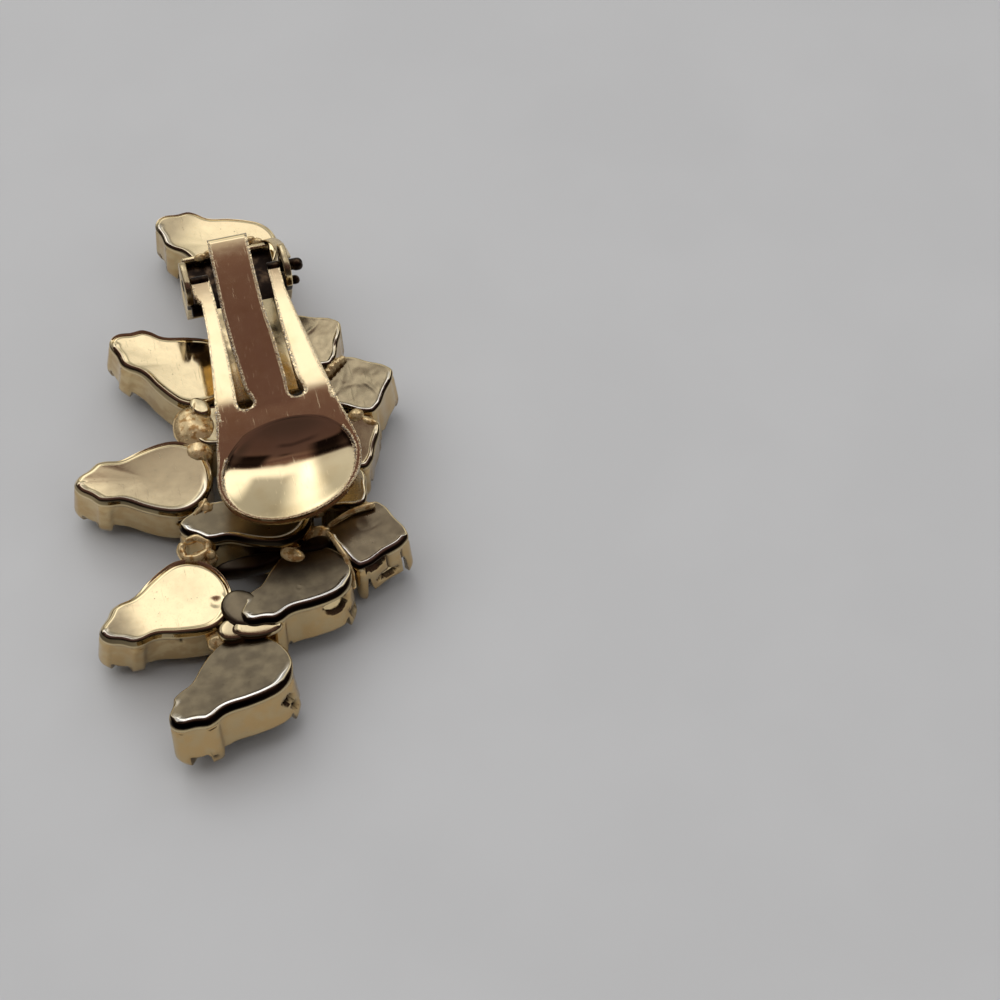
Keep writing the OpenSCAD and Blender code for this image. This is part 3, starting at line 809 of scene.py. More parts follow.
def pear_rows(size):
    """Outside and pocket points of half a pear cup, from its tip to its head."""
    rows = [(a * size, b * size, c * size, d * size) for a, b, c, d in PEAR_HALF]
    reach, half = (PEAR_LEN - ROUND_FROM) * size, PEAR_HALF_W * size
    for i in range(ROUND_STEPS + 1):
        t = math.radians(90 - 90 * i / ROUND_STEPS)
        rows.append((ROUND_FROM * size + reach * math.cos(t), half * math.sin(t),
                     ROUND_FROM * size + (reach - ROUND_WALL) * math.cos(t),
                     (half - ROUND_WALL) * math.sin(t)))
    pivot = PEAR_PIVOT * size
    return [(pivot - a, b, pivot - c, d) for a, b, c, d in rows]


def pear_outline(size, count):
    """Outside and pocket points of a pear cup, and its prong places along the outline."""
    right = pear_rows(size)
    left = [(a, -b, c, -d) for a, b, c, d in reversed(right[:-1])]
    points, along, knots, total = smooth_loop(right + left, count)
    last = len(right) + len(left) - 1
    spots = [(knots[a] + knots[b]) / 2 for a, b in PEAR_PRONGS]
    spots += [(knots[last - a] + knots[last - b]) / 2 for a, b in PEAR_PRONGS]
    spots.append((knots[last] + total) / 2)
    return points, along, total, spots


def square_rows(length, width):
    """Outside and pocket points of a square cup: three to a corner and one to a side."""
    rows = []
    inner = SQUARE_CORNER - SQUARE_WALL
    for q in range(4):
        sx, sy = (1 if q in (0, 3) else -1), (1 if q < 2 else -1)
        cx, cy = sx * (length / 2 - SQUARE_CORNER), sy * (width / 2 - SQUARE_CORNER)
        for k in range(3):
            t = math.radians(90 * q + 45 * k)
            rows.append((cx + SQUARE_CORNER * math.cos(t), cy + SQUARE_CORNER * math.sin(t),
                         cx + inner * math.cos(t), cy + inner * math.sin(t)))
        nx = 0.0 if q % 2 == 0 else sx
        ny = sy if q % 2 == 0 else 0.0
        rows.append((nx * length / 2, ny * width / 2,
                     nx * (length / 2 - SQUARE_WALL), ny * (width / 2 - SQUARE_WALL)))
    return rows


def square_outline(length, width, count):
    """Outside and pocket points of a square cup, and its prong places along the outline."""
    points, along, knots, total = smooth_loop(square_rows(length, width), count)
    return points, along, total, [knots[4 * q + 1] for q in range(4)]


def table_reach(edge, nose, bank):
    """How far a stone's table reaches below its cup's back, once the cup is tilted."""
    cups, stones = bpy.context.scene.earring_cups, bpy.context.scene.earring_stones
    part = stone_fit() * stones.table
    deep = (cups.depth + stones.crown) / MM
    nose, bank = math.radians(nose), math.radians(bank)
    return -min(x * part * math.sin(nose)
                + (y * part * math.sin(bank) - deep * math.cos(bank)) * math.cos(nose)
                for x, y in edge)


def stone_fit():
    return 1 - bpy.context.scene.earring_stones.gap / MM / 2.2


def is_pear(row):
    """Whether a row is a pear cup's: a square cup's row has two sizes."""
    return len(row) == 8


def solid_edge(row):
    """The stone's outline as the part's source has it, from every other outline point."""
    if is_pear(row):
        right = [(c, d) for _, _, c, d in pear_rows(row[7])]
        return (right + [(x, -y) for x, y in reversed(right[:-1])])[::2]
    return [(c, d) for _, _, c, d in square_rows(row[7], row[8])][::2]


def placed(row, points):
    """Cup points with their back at z = 0, set in place by the cup's table row."""
    x, y, lift, heading, nose, bank = row[1:7]
    turn = turned(heading, "Z") @ turned(-nose, "Y") @ turned(bank, "X")
    height = lift + table_reach(solid_edge(row), nose, bank)
    return np.asarray(points) @ turn.T + design(x, y, height)


def cup_points(row, count):
    if is_pear(row):
        return pear_outline(row[7], count)
    return square_outline(row[7], row[8], count)


def round_gap(values, at, total):
    """Distance from values to one place, along a closed line of this total length."""
    return np.abs((values - at + total / 2) % total - total / 2)


def outward(line):
    """Unit vectors that point out of a closed line."""
    along = np.roll(line, -1, 0) - np.roll(line, 1, 0)
    normal = np.column_stack([along[:, 1], -along[:, 0]])
    normal /= np.linalg.norm(normal, axis=1)[:, None]
    return -normal if np.sum(normal * line) < 0 else normal


def press_back(row, points, shown, seed):
    """Leans the back a little on its cup, makes it uneven, and presses its marks in."""
    lean, lean_right = BACKS[row[0]][3:5]
    offset = points[:, :2] - design(row[1], row[2])[:2]
    away_by = offset @ -NEAR_SIDE
    right_by = offset @ (-NEAR_SIDE[1], NEAR_SIDE[0])
    points[:, 2] -= np.where(shown, away_by * math.tan(math.radians(lean))
                             + right_by * math.tan(math.radians(lean_right)), 0)
    points[:, 2] += np.where(shown, 0.006 * rumple(points, 0.45, seed), 0)
    crumple = CRUMPLED.get(row[0], 0.0)
    points[:, 2] += np.where(shown, crumple * rumple(points, 1.1, seed + 30)
                             + 0.4 * crumple * rumple(points, 2.6, seed + 60), 0)
    for x, y, radius, deep in DENTS:
        r = np.linalg.norm(points[:, :2] - design(x, y)[:2], axis=1) / radius
        points[:, 2] -= np.where(
            shown, deep * (np.exp(-r**2) - 0.5 * np.exp(-(r - 1.5)**2 * 6)), 0)
    for x, y, heading, length, high in CREASES:
        t = math.radians(heading)
        d = points[:, :2] - design(x, y)[:2]
        lengthwise = d @ (math.cos(t), math.sin(t))
        across = d @ (-math.sin(t), math.cos(t)) - 0.10 * lengthwise**2
        points[:, 2] += np.where(shown, high * np.exp(-(across / 0.11) ** 2)
                                 * np.exp(-(lengthwise / (length / 2)) ** 4), 0)


def open_holes(row, points, painted_shade, wall, middle, along, total, facing):
    """Pushes one cup's holes and seams into its wall, and returns its painted shade with theirs,
    dark in each hole.
    """
    rings = len(points) // len(along)
    column = np.concatenate([np.tile(along, rings), np.zeros(2)])
    ways = np.concatenate([np.tile(facing, (rings, 1)), np.zeros((2, 2))])
    for cup, x, y, z, reach_along, reach_up, deep in HOLES:
        if cup != row[0]:
            continue
        nearest = along[np.argmin(np.linalg.norm(middle[:, :2] - design(x, y)[:2], axis=1))]
        off = round_gap(column, nearest, total) / reach_along
        up = (points[:, 2] - z) / reach_up
        mask = np.where(wall, 1 - ramp(np.sqrt(off**2 + up**2), 0.90, 1.20), 0)
        points[:, :2] -= ways * (deep * mask)[:, None]
        # Each hole is painted dark as shade
        painted_shade = np.maximum(painted_shade, mask)
    return painted_shade


def build_cup(row, seed):
    """A pressed cup: rounded back edge with a raised lip, prong columns, slots and a pocket."""
    cups = bpy.context.scene.earring_cups
    pear = is_pear(row)
    count = PEAR_COUNT if pear else SQUARE_COUNT
    line, along, total, spots = cup_points(row, count)
    out, pocket = line[:, :2], line[:, 2:]
    dull_tip, dull_head, hollow, _, _, round_near, round_far = BACKS[row[0]]
    depth, reach = cups.depth / MM, cups.prong_reach / MM
    half = cups.prong_width / MM / 2 * (1.0 if pear else 0.85)

    away = [round_gap(along, spot, total) for spot in spots]
    if pear:
        away[-1] = np.maximum(away[-1] - TIP_PRONG, 0)
    away = np.min(away, axis=0)
    prong = 1 - ramp(away, half - 0.10, half + 0.10)
    slot = ramp(away, half + 0.02, half + 0.16) * (1 - ramp(away, half + 0.34, half + 0.50))
    slot *= SLOTS.get(row[0], SLOT_PART)
    wander = rumple([(a / 2.1, 0.0, 0.0) for a in along], 1.0, seed)
    normal = outward(out)
    facing = normal @ turned(row[4], "Z")[:2, :2].T
    side = ramp(facing @ NEAR_SIDE, -0.25, 0.35)
    standing = cups.lip / MM * side * (1 + 0.3 * wander)
    rounding = (round_far + (round_near - round_far) * side) * (1 + 0.12 * wander)
    flat = out - normal * rounding[:, None]

    def wear(x):
        return dull_head + (dull_tip - dull_head) * ramp(x, *WEAR_CHANGE)

    dull = wear(out[:, 0])
    rings = []

    def ring(xy, z, worn=0.0, edge=0.0, painted_shade=0.0, amber_wall_shade=0.0):
        rest = [np.broadcast_to(value, count) for value in (z, worn, edge, painted_shade, amber_wall_shade)]
        rings.append(np.column_stack([xy, *rest]))

    # The back, from its middle out to the raised lip
    for u in BACK_RINGS:
        lip = ramp(u, 0.91, 0.99)
        ring(flat * u, -hollow * (1 - u * u) + standing * lip - BACK_SINK,
             wear(flat[:, 0] * u) * (1 - 0.9 * lip * side), dull * lip * side)
    # The rounded edge, with a dark band on its slope on the near side painted in as shade
    for angle in EDGE_ANGLES:
        t = math.radians(angle)
        crest = 1 - ramp(angle, 8, 24)
        # Painted shade: a dark band down the edge's slope, on the near side
        dark_line_shade = ramp(angle, 14, 32) * (1 - ramp(angle, 62, 82)) * side
        ring(flat + normal * (rounding * math.sin(t))[:, None],
             standing - rounding * (1 - math.cos(t)) - BACK_SINK, dull * 0.3,
             dull * crest * side, dark_line_shade * (0.60 + 0.38 * dull) * (1 + 0.2 * wander))
    # The wall, flaring to its rim, set back between the prongs, and painted darker amber all over
    # as shade
    foot = slot * cups.slot / MM - depth - prong * reach + (1 - prong) * (0.10 * wander + 0.05)
    for f in WALL_RINGS:
        z = -WALL_TOP + (foot + WALL_TOP) * f
        wide = 1 + (cups.flare - 1) * np.clip((-z - WALL_TOP) / (depth - 0.65), 0, 1)
        bend = PRONG_BEND * np.clip((-z - depth + 0.15) / (reach + 0.15), 0, 1) ** 1.4
        xy = out * wide[:, None]
        xy = xy + (pocket - xy) * (bend * prong)[:, None]
        back = cups.relief / MM * (1 - prong * ramp(-z, 0.60, 0.90)) * ramp(-z, 0.50, 0.62)
        if f == 1.0:
            back = back + 0.05
        ring(xy - normal * back[:, None], z, 0.04 + 0.42 * dull + 0.15 * np.abs(wander),
             amber_wall_shade=1.0)
    # The pocket: over the rim and up inside
    ring(pocket * np.where(prong > 0.5, 0.99, 1.0)[:, None], foot + 0.10 * prong + 0.02)
    ring(pocket * 0.995, np.maximum(foot, -depth + 0.3) * 0.6 - 0.4)
    ring(pocket * 0.99, -1.3)
    ring(pocket * 0.9, -cups.back / MM)

    # A point in the middle of the back and one in the pocket's close the cup
    base, last = len(rings) * count, (len(rings) - 1) * count
    rings.append([(0, 0, -hollow - BACK_SINK, dull_head, 0, 0, 0),
                  (0, 0, -cups.back / MM, 0, 0, 0, 0)])
    faces = ring_faces(len(rings) - 1, count)
    for i in range(count):
        j = (i + 1) % count
        faces += [(base, j, i), (base + 1, last + i, last + j)]
    table = np.concatenate(rings)
    worn, edge, painted_shade, amber_wall_shade = table[:, 3:].T

    # The back and most of its rounded edge are pressed; holes start a little lower down
    points = placed(row, table[:, :3])
    rounded = len(BACK_RINGS) + len(EDGE_ANGLES)
    number = np.arange(len(points))
    shown = number < (rounded - 5) * count
    shown[base] = True
    press_back(row, points, shown, seed)
    wall = (number >= (rounded - 3) * count) & (number < (rounded + len(WALL_RINGS)) * count)
    middle = points[rounded * count:(rounded + 1) * count]
    painted_shade = open_holes(row, points, painted_shade, wall, middle, along, total, facing)
    return make_piece(row[0], points, faces, material("cup_gold"), "earring", worn, edge, painted_shade,
                      amber_wall_shade)


def build_stone(row, name):
    """A cut stone: table, star facets, kites, girdle halves, pavilion and culet."""
    cups, stones = bpy.context.scene.earring_cups, bpy.context.scene.earring_stones
    mains = 8
    rim = cup_points(row, mains * 2)[0][:, 2:]
    fit = stone_fit()
    depth, back, crown = cups.depth / MM, cups.back / MM, stones.crown / MM
    girdle = -depth + 0.3
    mid = girdle - 0.25 - (crown + 0.05) * 0.62

    def at(part, z, which=slice(None)):
        return [(x, y, z) for x, y in rim[which] * fit * part]

    even, odd = slice(0, None, 2), slice(1, None, 2)
    points = at(0.10, -back - 0.2, even)
    points += at(0.62, (girdle - back) * 0.66, odd)
    points += at(0.94, girdle)
    points += at(0.94, girdle - 0.25)
    points += at(stones.table + 0.23, mid, odd)
    points += at(stones.table, -depth - crown, even)
    # Where the points of each start: culet, pavilion, girdle twice, stars and table
    c, p, g, h, s, t = (mains * k for k in (0, 1, 2, 4, 6, 7))
    faces = [tuple(range(c, c + mains)), tuple(range(t, t + mains))]
    for i in range(mains):
        j = (i + 1) % mains
        a, b, e = 2 * i, 2 * i + 1, (2 * i + 2) % (2 * mains)
        faces += [(c + i, c + j, p + i), (p + i, g + a, g + b), (p + i, g + b, g + e),
                  (c + j, p + i, g + e, p + j),
                  (g + a, g + b, h + b, h + a), (g + b, g + e, h + e, h + b),
                  (s + i, h + b, h + a), (s + i, h + e, h + b),
                  (t + j, s + i, h + e, s + j), (t + i, t + j, s + i)]
    return make_piece(name, placed(row, points), faces, material("cut_crystal"), "earring",
                      smooth=False)


# Solder


def blob(centre, radii, turn, seed, rough=0.28, flat=False):
    """A lump of solder, as points and faces; a flat one has run out level."""
    bm = bmesh.new()
    bmesh.ops.create_icosphere(bm, subdivisions=3, radius=1.0)
    points = np.array([v.co for v in bm.verts])
    faces = [tuple(v.index for v in f.verts) for f in bm.faces]
    bm.free()
    if flat:
        points[:, 2] = np.tanh(FILLING_FLAT * points[:, 2])
    points = points * (1 + rough * (rumple(points, 1.2, seed)
                                    + 0.5 * rumple(points, 2.6, seed + 9)))[:, None]
    points = (points * radii) @ turned(turn, "Z").T
    if flat:
        points[:, 2] -= FILLING_LEAN * points[:, 1]
    return points + centre, faces


def rope(path, ends, ribs=0.0, pitch=0.42, sides=14, seed=1):
    """A run of solder or wire along a path, with ribs where it was laid drop by drop."""
    path = np.asarray(path, float)
    seg = np.linalg.norm(np.diff(path, axis=0), axis=1)
    along = np.concatenate([[0], np.cumsum(seg)])
    count = max(8, int(along[-1] / 0.10))
    wanted = np.linspace(0, along[-1], count)
    line = resampled(path, along, wanted, 3)
    points = []
    for k, centre in enumerate(line):
        ahead = line[min(k + 1, count - 1)] - line[max(k - 1, 0)]
        ahead /= np.linalg.norm(ahead)
        side = np.cross(ahead, (0, 0, 1.0))
        if np.linalg.norm(side) < 1e-3:
            side = np.array([1.0, 0, 0])
        side /= np.linalg.norm(side)
        up = np.cross(side, ahead)
        radius = ends[0] + (ends[1] - ends[0]) * wanted[k] / wanted[-1]
        end = min(wanted[k], wanted[-1] - wanted[k]) / radius
        r = radius * math.sqrt(max(0.02, 1 - max(0.0, 1 - end) ** 2))
        r *= 1 + ribs * math.cos(2 * math.pi * wanted[k] / pitch)
        for i in range(sides):
            a = 2 * math.pi * i / sides
            points.append(centre + r * (math.cos(a) * side + math.sin(a) * up))
    points = np.array(points)
    points += 0.08 * min(ends) * rumple(points, 2.2, seed)[:, None]
    return points, tube_faces(count, sides)


def gathered(parts):
    """Joins several lots of points and faces into one."""
    points, faces, base = [], [], 0
    for p, f in parts:
        points.append(np.asarray(p))
        faces += [tuple(i + base for i in face) for face in f]
        base += len(p)
    return np.concatenate(points), faces


def solder_piece(name, parts, finish, worn=None, painted_shade=None):
    """One piece from lots of solder, on the earring, with the setting's own part hidden."""
    points, faces = gathered(parts)
    solder = make_piece(name, points, faces, material(finish), "earring", worn, painted_shade=painted_shade)
    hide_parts("setting")


# Flat stampings


def bevelled(outline, low, high, width):
    """A flat stamping from an outline, between two heights, with rounded edges."""
    bm = bmesh.new()
    rows = [[bm.verts.new((x, y, level)) for x, y in outline] for level in (low, high)]
    n = len(outline)
    bm.faces.new(rows[0][::-1])
    bm.faces.new(rows[1])
    for i in range(n):
        j = (i + 1) % n
        bm.faces.new((rows[0][i], rows[0][j], rows[1][j], rows[1][i]))
    bmesh.ops.recalc_face_normals(bm, faces=bm.faces)
    sharp = [e for e in bm.edges if e.calc_face_angle(0) > math.radians(30)]
    bmesh.ops.bevel(bm, geom=sharp, offset=width, segments=3, profile=0.5, affect="EDGES",
                    clamp_overlap=True)
    bmesh.ops.triangulate(bm, faces=[f for f in bm.faces if len(f.verts) > 4])
    bm.verts.index_update()
    points = np.array([v.co for v in bm.verts])
    faces = [tuple(v.index for v in f.verts) for f in bm.faces]
    bm.free()
    return points, faces


def rectangle(x0, x1, y0, y1):
    return [(x0, y0), (x1, y0), (x1, y1), (x0, y1)]


def ear_outline(steps):
    """Distance from the hinge axis to an ear's edge, for each angle in its side view."""
    foot = STRIP_Z - HINGE_Z
    shape = [(PLATE_NEAR, foot), (-1.5, -0.3)]
    for middle, start in ((EAR_ROUNDS[0], 180), (EAR_ROUNDS[1], 90)):
        shape += [(middle + EAR_ROUND * math.cos(math.radians(start - a)),
                   0.1 + EAR_ROUND * math.sin(math.radians(start - a))) for a in range(0, 91, 10)]
    shape += [(1.6, -1.0), (PLATE_WAIST, foot)]
    shape = np.array(shape + shape[:1])
    return np.array([ray_to(shape, np.zeros(2), 2 * math.pi * k / steps) for k in range(steps)])


def build_ear(side):
    """One upright ear of the hinge, with its pin hole."""
    clip = bpy.context.scene.earring_clip
    steps, bevel = 120, EAR_BEVEL
    half, hole = clip.ear / MM / 2, clip.pin / MM + 0.05
    middle = HINGE_MID + side * (clip.ear_gap + clip.ear) / 2 / MM
    reach = ear_outline(steps)
    angles = 2 * math.pi * np.arange(steps) / steps
    # From the hole out over one face to the edge, then back in over the other
    rounded = [(hole, 0.0), (reach - bevel, 0.0), (reach - bevel * 0.3, bevel * 0.3),
               (reach, bevel)]
    rounded = [(r, x - half) for r, x in rounded] + [(r, half - x) for r, x in rounded[::-1]]
    rings = [np.column_stack([np.full(steps, middle + x), r * np.cos(angles),
                              HINGE_Z + r * np.sin(angles)]) for r, x in rounded]
    return np.concatenate(rings), ring_faces(len(rings), steps, closed_stack=True)


# The clip's sheet


def pad_point(t, inset):
    clip = bpy.context.scene.earring_clip
    u = (clip.pad_width / MM / 2 - inset) * math.cos(t)
    v = (clip.pad_length / MM / 2 - inset) * math.sin(t)
    return (PAD_MID_X + u * math.cos(PAD_TURN) - v * math.sin(PAD_TURN),
            -clip.pad_reach / MM + u * math.sin(PAD_TURN) + v * math.cos(PAD_TURN))


def pad_oval(inset):
    """The pad's oval as a closed line, this far in from its edge."""
    return np.array([pad_point(t, inset) for t in np.linspace(0, 2 * math.pi, 241)])


def sheet_top(y):
    """Height of the sheet's upper side over the hinge axis, away from the tongue and dish."""
    past = y - FOOT_Y
    rise = LEG_TOP / (1 - FOOT_Y)
    curl = LEG_CURL * max(0.0, y + CURL_LEN) ** 2
    return rise * past + curl + (PAD_DROP - rise) * (
        past - math.sqrt(past * past + BEND_SOFT**2)) / 2


def edge_x(rows, column, y):
    """One edge's x at y, from rows that each start with their y."""
    table = sorted((r[0], r[column]) for r in rows)
    return float(np.interp(y, [t[0] for t in table], [t[1] for t in table]))


def slit_edge(foot, y, side, straight):
    """The edge of a slit at y: round at its foot, then running into the straight edge."""
    x, foot_y, r = foot
    if y <= foot_y - r:
        return x
    if y <= foot_y:
        return x + side * math.sqrt(max(0.0, r * r - (y - foot_y) ** 2))
    return (x + side * r) + (straight - x - side * r) * float(ramp(y, foot_y, foot_y + 1.3))


def strip_rows(kind):
    """Rows of one strip of the sheet: y, left x, right x, height, from the pad's line up."""
    top = TAIL_START if kind == "tongue" else 0.0
    ys = [CHORD_Y, -11.55]
    ys += list(np.linspace(-11.40, -10.0, 22)) + list(np.linspace(-9.8, top, 34))
    ys += [y - r for _, y, r in SLIT_FEET]
    rows = []
    for y in sorted(set(round(v, 4) for v in ys)):
        z = sheet_top(y)
        if kind == "left":
            left = edge_x(OUTER_EDGES, 1, y)
            right = slit_edge(SLIT_FEET[0], y, -1, edge_x(LEGS, 2, y))
        elif kind == "right":
            left = slit_edge(SLIT_FEET[1], y, 1, edge_x(LEGS, 3, y))
            right = edge_x(OUTER_EDGES, 4, y)
        else:
            left = slit_edge(SLIT_FEET[0], y, 1, edge_x(TONGUE, 1, y))
            right = slit_edge(SLIT_FEET[1], y, -1, edge_x(TONGUE, 2, y))
            past = y - FOOT_Y
            straight = PAD_DROP * past + (TONGUE_RISE - PAD_DROP) * (past + math.sqrt(
                past * past + BEND_SOFT**2)) / 2
            part = float(ramp(y, CHORD_Y, CHORD_Y + 1.2))
            z = part * straight + (1 - part) * z
        rows.append((y, left, right, z))
    return rows


def strip_mesh(rows, columns):
    """Points and faces of one strip, with even columns across its rows."""
    points = [(x, y, HINGE_Z + z) for y, left, right, z in rows
              for x in np.linspace(left, right, columns)]
    faces = []
    for r in range(len(rows) - 1):
        for k in range(columns - 1):
            a = r * columns + k
            faces.append((a, a + 1, a + columns + 1, a + columns))
    return np.array(points), faces


def pad_mesh():
    """The pad with its dish, as rings from its outline in to its middle."""
    clip = bpy.context.scene.earring_clip
    centre = np.array([PAD_MID_X, -clip.pad_reach / MM])
    chord = []
    for kind, columns in COLUMNS.items():
        y, left, right = strip_rows(kind)[0][:3]
        xs = list(np.linspace(left, right, columns))
        chord += [(x, y) for x in (xs if not chord else xs[1:])]
    ys = np.linspace(CHORD_Y, SHOULDERS[-1][0], 12)
    left_line = np.array([(edge_x(OUTER_EDGES, 1, y), y) for y in ys])
    right_line = np.array([(edge_x(OUTER_EDGES, 4, y), y) for y in ys])
    oval = pad_oval(0)
    start = math.atan2(chord[-1][1] - centre[1], chord[-1][0] - centre[0])
    end = math.atan2(chord[0][1] - centre[1], chord[0][0] - centre[0]) - 2 * math.pi
    outline = list(chord)
    for a in np.linspace(start, end, 122)[1:-1]:
        line = right_line if math.cos(a) > 0 else left_line
        r = max(ray_to(line, centre, a), ray_to(oval, centre, a))
        outline.append(tuple(centre + r * np.array([math.cos(a), math.sin(a)])))
    outline = np.array(outline)
    n = len(outline)
    # Round the corners where the legs' edges meet the oval
    for _ in range(3):
        soft = (np.roll(outline, 1, 0) + 2 * outline + np.roll(outline, -1, 0)) / 4
        keep = np.arange(n) <= len(chord)
        keep[-1] = True
        outline = np.where(keep[:, None], outline, soft)
    angle = np.arctan2(outline[:, 1] - centre[1], outline[:, 0] - centre[0])
    rim_line, near_line = pad_oval(clip.dish_rim / MM), pad_oval(NEAR_RIM)
    rim = []
    for a in angle:
        part = float(ramp(-math.sin(a), 0.0, 0.75))
        reach = (1 - part) * ray_to(rim_line, centre, a) + part * ray_to(near_line, centre, a)
        rim.append(centre + reach * np.array([math.cos(a), math.sin(a)]))
    rim = np.array(rim)
    rings, dish = [(outline + (rim - outline) * t, 0.0) for t in PAD_RINGS], clip.dish / MM
    lowest = centre + (0.0, DISH_OFF)
    for u in DISH_RINGS:
        deep = dish * (1 - u * u)
        rings.append((lowest + (rim - lowest) * u,
                      -0.5 * (deep + math.sqrt(deep * deep + DISH_SOFT * DISH_SOFT))))
    points = [(x, y, HINGE_Z + sheet_top(y) + deep) for xy, deep in rings for x, y in xy]
    faces = ring_faces(len(rings), n)
    middle = len(points)
    points.append((lowest[0], lowest[1], HINGE_Z + sheet_top(lowest[1]) - dish))
    last = (len(rings) - 1) * n
    faces += [(last + i, last + (i + 1) % n, middle) for i in range(n)]
    return np.array(points), faces


def fold_line():
    """The tongue's folded tail from the side, as y and height over the hinge axis."""
    tail = TONGUE[0][0]
    end = tail - TAIL_FOLD[0][0]
    sag = TONGUE_TOP + TONGUE_RISE * end - TAIL_TOP
    line = [(TAIL_START, TONGUE_TOP * (TAIL_START - FOOT_Y) / -FOOT_Y)]
    line += [(y, TONGUE_TOP + TONGUE_RISE * y - sag * (y / end)**2)
             for y in np.linspace(0.35, end - 0.3, 5)]
    line += [(tail - a, TAIL_TOP - b) for a, b in TAIL_FOLD]
    line += [(tail, TAIL_TOP - TAIL_DROP)]
    p = np.array(line)
    for _ in range(2):
        fine = [p[0]]
        for a, b in zip(p[:-1], p[1:]):
            fine += [a * 0.75 + b * 0.25, a * 0.25 + b * 0.75]
        p = np.array(fine + [p[-1]])
    return p


def finish_sheet(obj, thick, bevel):
    """Gives a thin surface its thickness and rounded edges."""
    solid = obj.modifiers.new("thickness", "SOLIDIFY")
    solid.thickness = thick
    solid.offset = -1
    solid.use_even_offset = True
    round_off = obj.modifiers.new("edges", "BEVEL")
    round_off.width = bevel
    round_off.segments = 3
    round_off.limit_method = "ANGLE"
    round_off.angle_limit = math.radians(50)
    bpy.context.view_layer.update()
    graph = bpy.context.evaluated_depsgraph_get()
    made = bpy.data.meshes.new_from_object(obj.evaluated_get(graph))
    obj.modifiers.clear()
    obj.data = made
    for polygon in made.polygons:
        polygon.use_smooth = True


def mark_edges(obj, reach):
    """Writes how near each point is to the sheared edge of the sheet, 1 at the edge."""
    mesh = obj.data
    near = np.zeros(len(mesh.vertices), np.float32)
    bm = bmesh.new()
    bm.from_mesh(mesh)
    bm.verts.ensure_lookup_table()
    # Points of the side faces: those whose normals lie nearly level
    seeds = [v.co.copy() for v in bm.verts if abs(v.normal.z) < 0.75]
    bm.free()
    if seeds:
        tree = KDTree(len(seeds))
        for i, s in enumerate(seeds):
            tree.insert(s, i)
        tree.balance()
        for v in mesh.vertices:
            near[v.index] = 1 - float(ramp(tree.find(v.co)[2], 0.0, reach))
            # The pad's near edge and the legs' are less rough than the rest
            x, y = v.co.x / MM - SHIFT[0], v.co.y / MM - SHIFT[1]
            near[v.index] *= float(ramp(y, -18.2, -15.5)) * 0.85 + 0.15
            if abs(x) > 1.95 and y > -10.5:
                near[v.index] *= 0.35
    layer = mesh.attributes.new("edge", "FLOAT", "POINT")
    layer.data.foreach_set("value", near)


# Operators, one for each kind of piece


class EARRING_OT_cups(bpy.types.Operator):
    """Builds the fourteen closed-back cups with their prongs"""

    bl_idname = "earring.cups"
    bl_label = "Cups"

    def execute(self, context):
        for seed, row in enumerate(PEARS + SQUARES):
            cup = build_cup(row, seed + 1)
            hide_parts("setting")
        return {"FINISHED"}


class EARRING_OT_stones(bpy.types.Operator):
    """Cuts a faceted stone for each cup"""

    bl_idname = "earring.stones"
    bl_label = "Stones"

    def execute(self, context):
        for row in PEARS + SQUARES:
            node = row[0].replace("cup", "stone")
            stone = build_stone(row, row[0].replace("cup", "cut_stone"))
            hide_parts(node)
        return {"FINISHED"}


class EARRING_OT_solder(bpy.types.Operator):
    """Lays the beads, lumps, runs and flat fillings of solder that join the cups"""

    bl_idname = "earring.solder"
    bl_label = "Solder"

    def execute(self, context):
        beads = [blob(design(x, y, z - 0.35), (r * 1.1, r * 0.9, r * 0.6), 37 * seed, seed)
                 for seed, (x, y, z, r) in enumerate(BEADS)]
        solder_piece("solder_beads", beads, "solder_gold")
        lumps = [blob(design(x, y, z), (a, b, c), turn, seed + 40, 0.09)
                 for seed, (x, y, z, a, b, c, turn) in enumerate(LUMPS)]
        runs = [rope([design(*p) for p in path], (start, end), ribs, seed=seed + 70)
                for seed, (path, start, end, ribs) in enumerate(RUNS)]
        solder_piece("solder_runs", lumps + runs, "solder_gold")
        fillings = [blob(design(x, y, z), (a, b, c), turn, seed + 90, 0.03, flat=True)
                    for seed, (x, y, z, a, b, c, turn, _) in enumerate(FILLINGS)]
        # Grey wear up to 1; the part above 1 is painted shade
        grey = np.concatenate([np.full(len(filling[0]), row[7])
                               for filling, row in zip(fillings, FILLINGS)])
        solder_piece("solder_filling", fillings, "cup_gold", np.minimum(grey, 1),
                     np.maximum(grey - 1, 0))
        return {"FINISHED"}


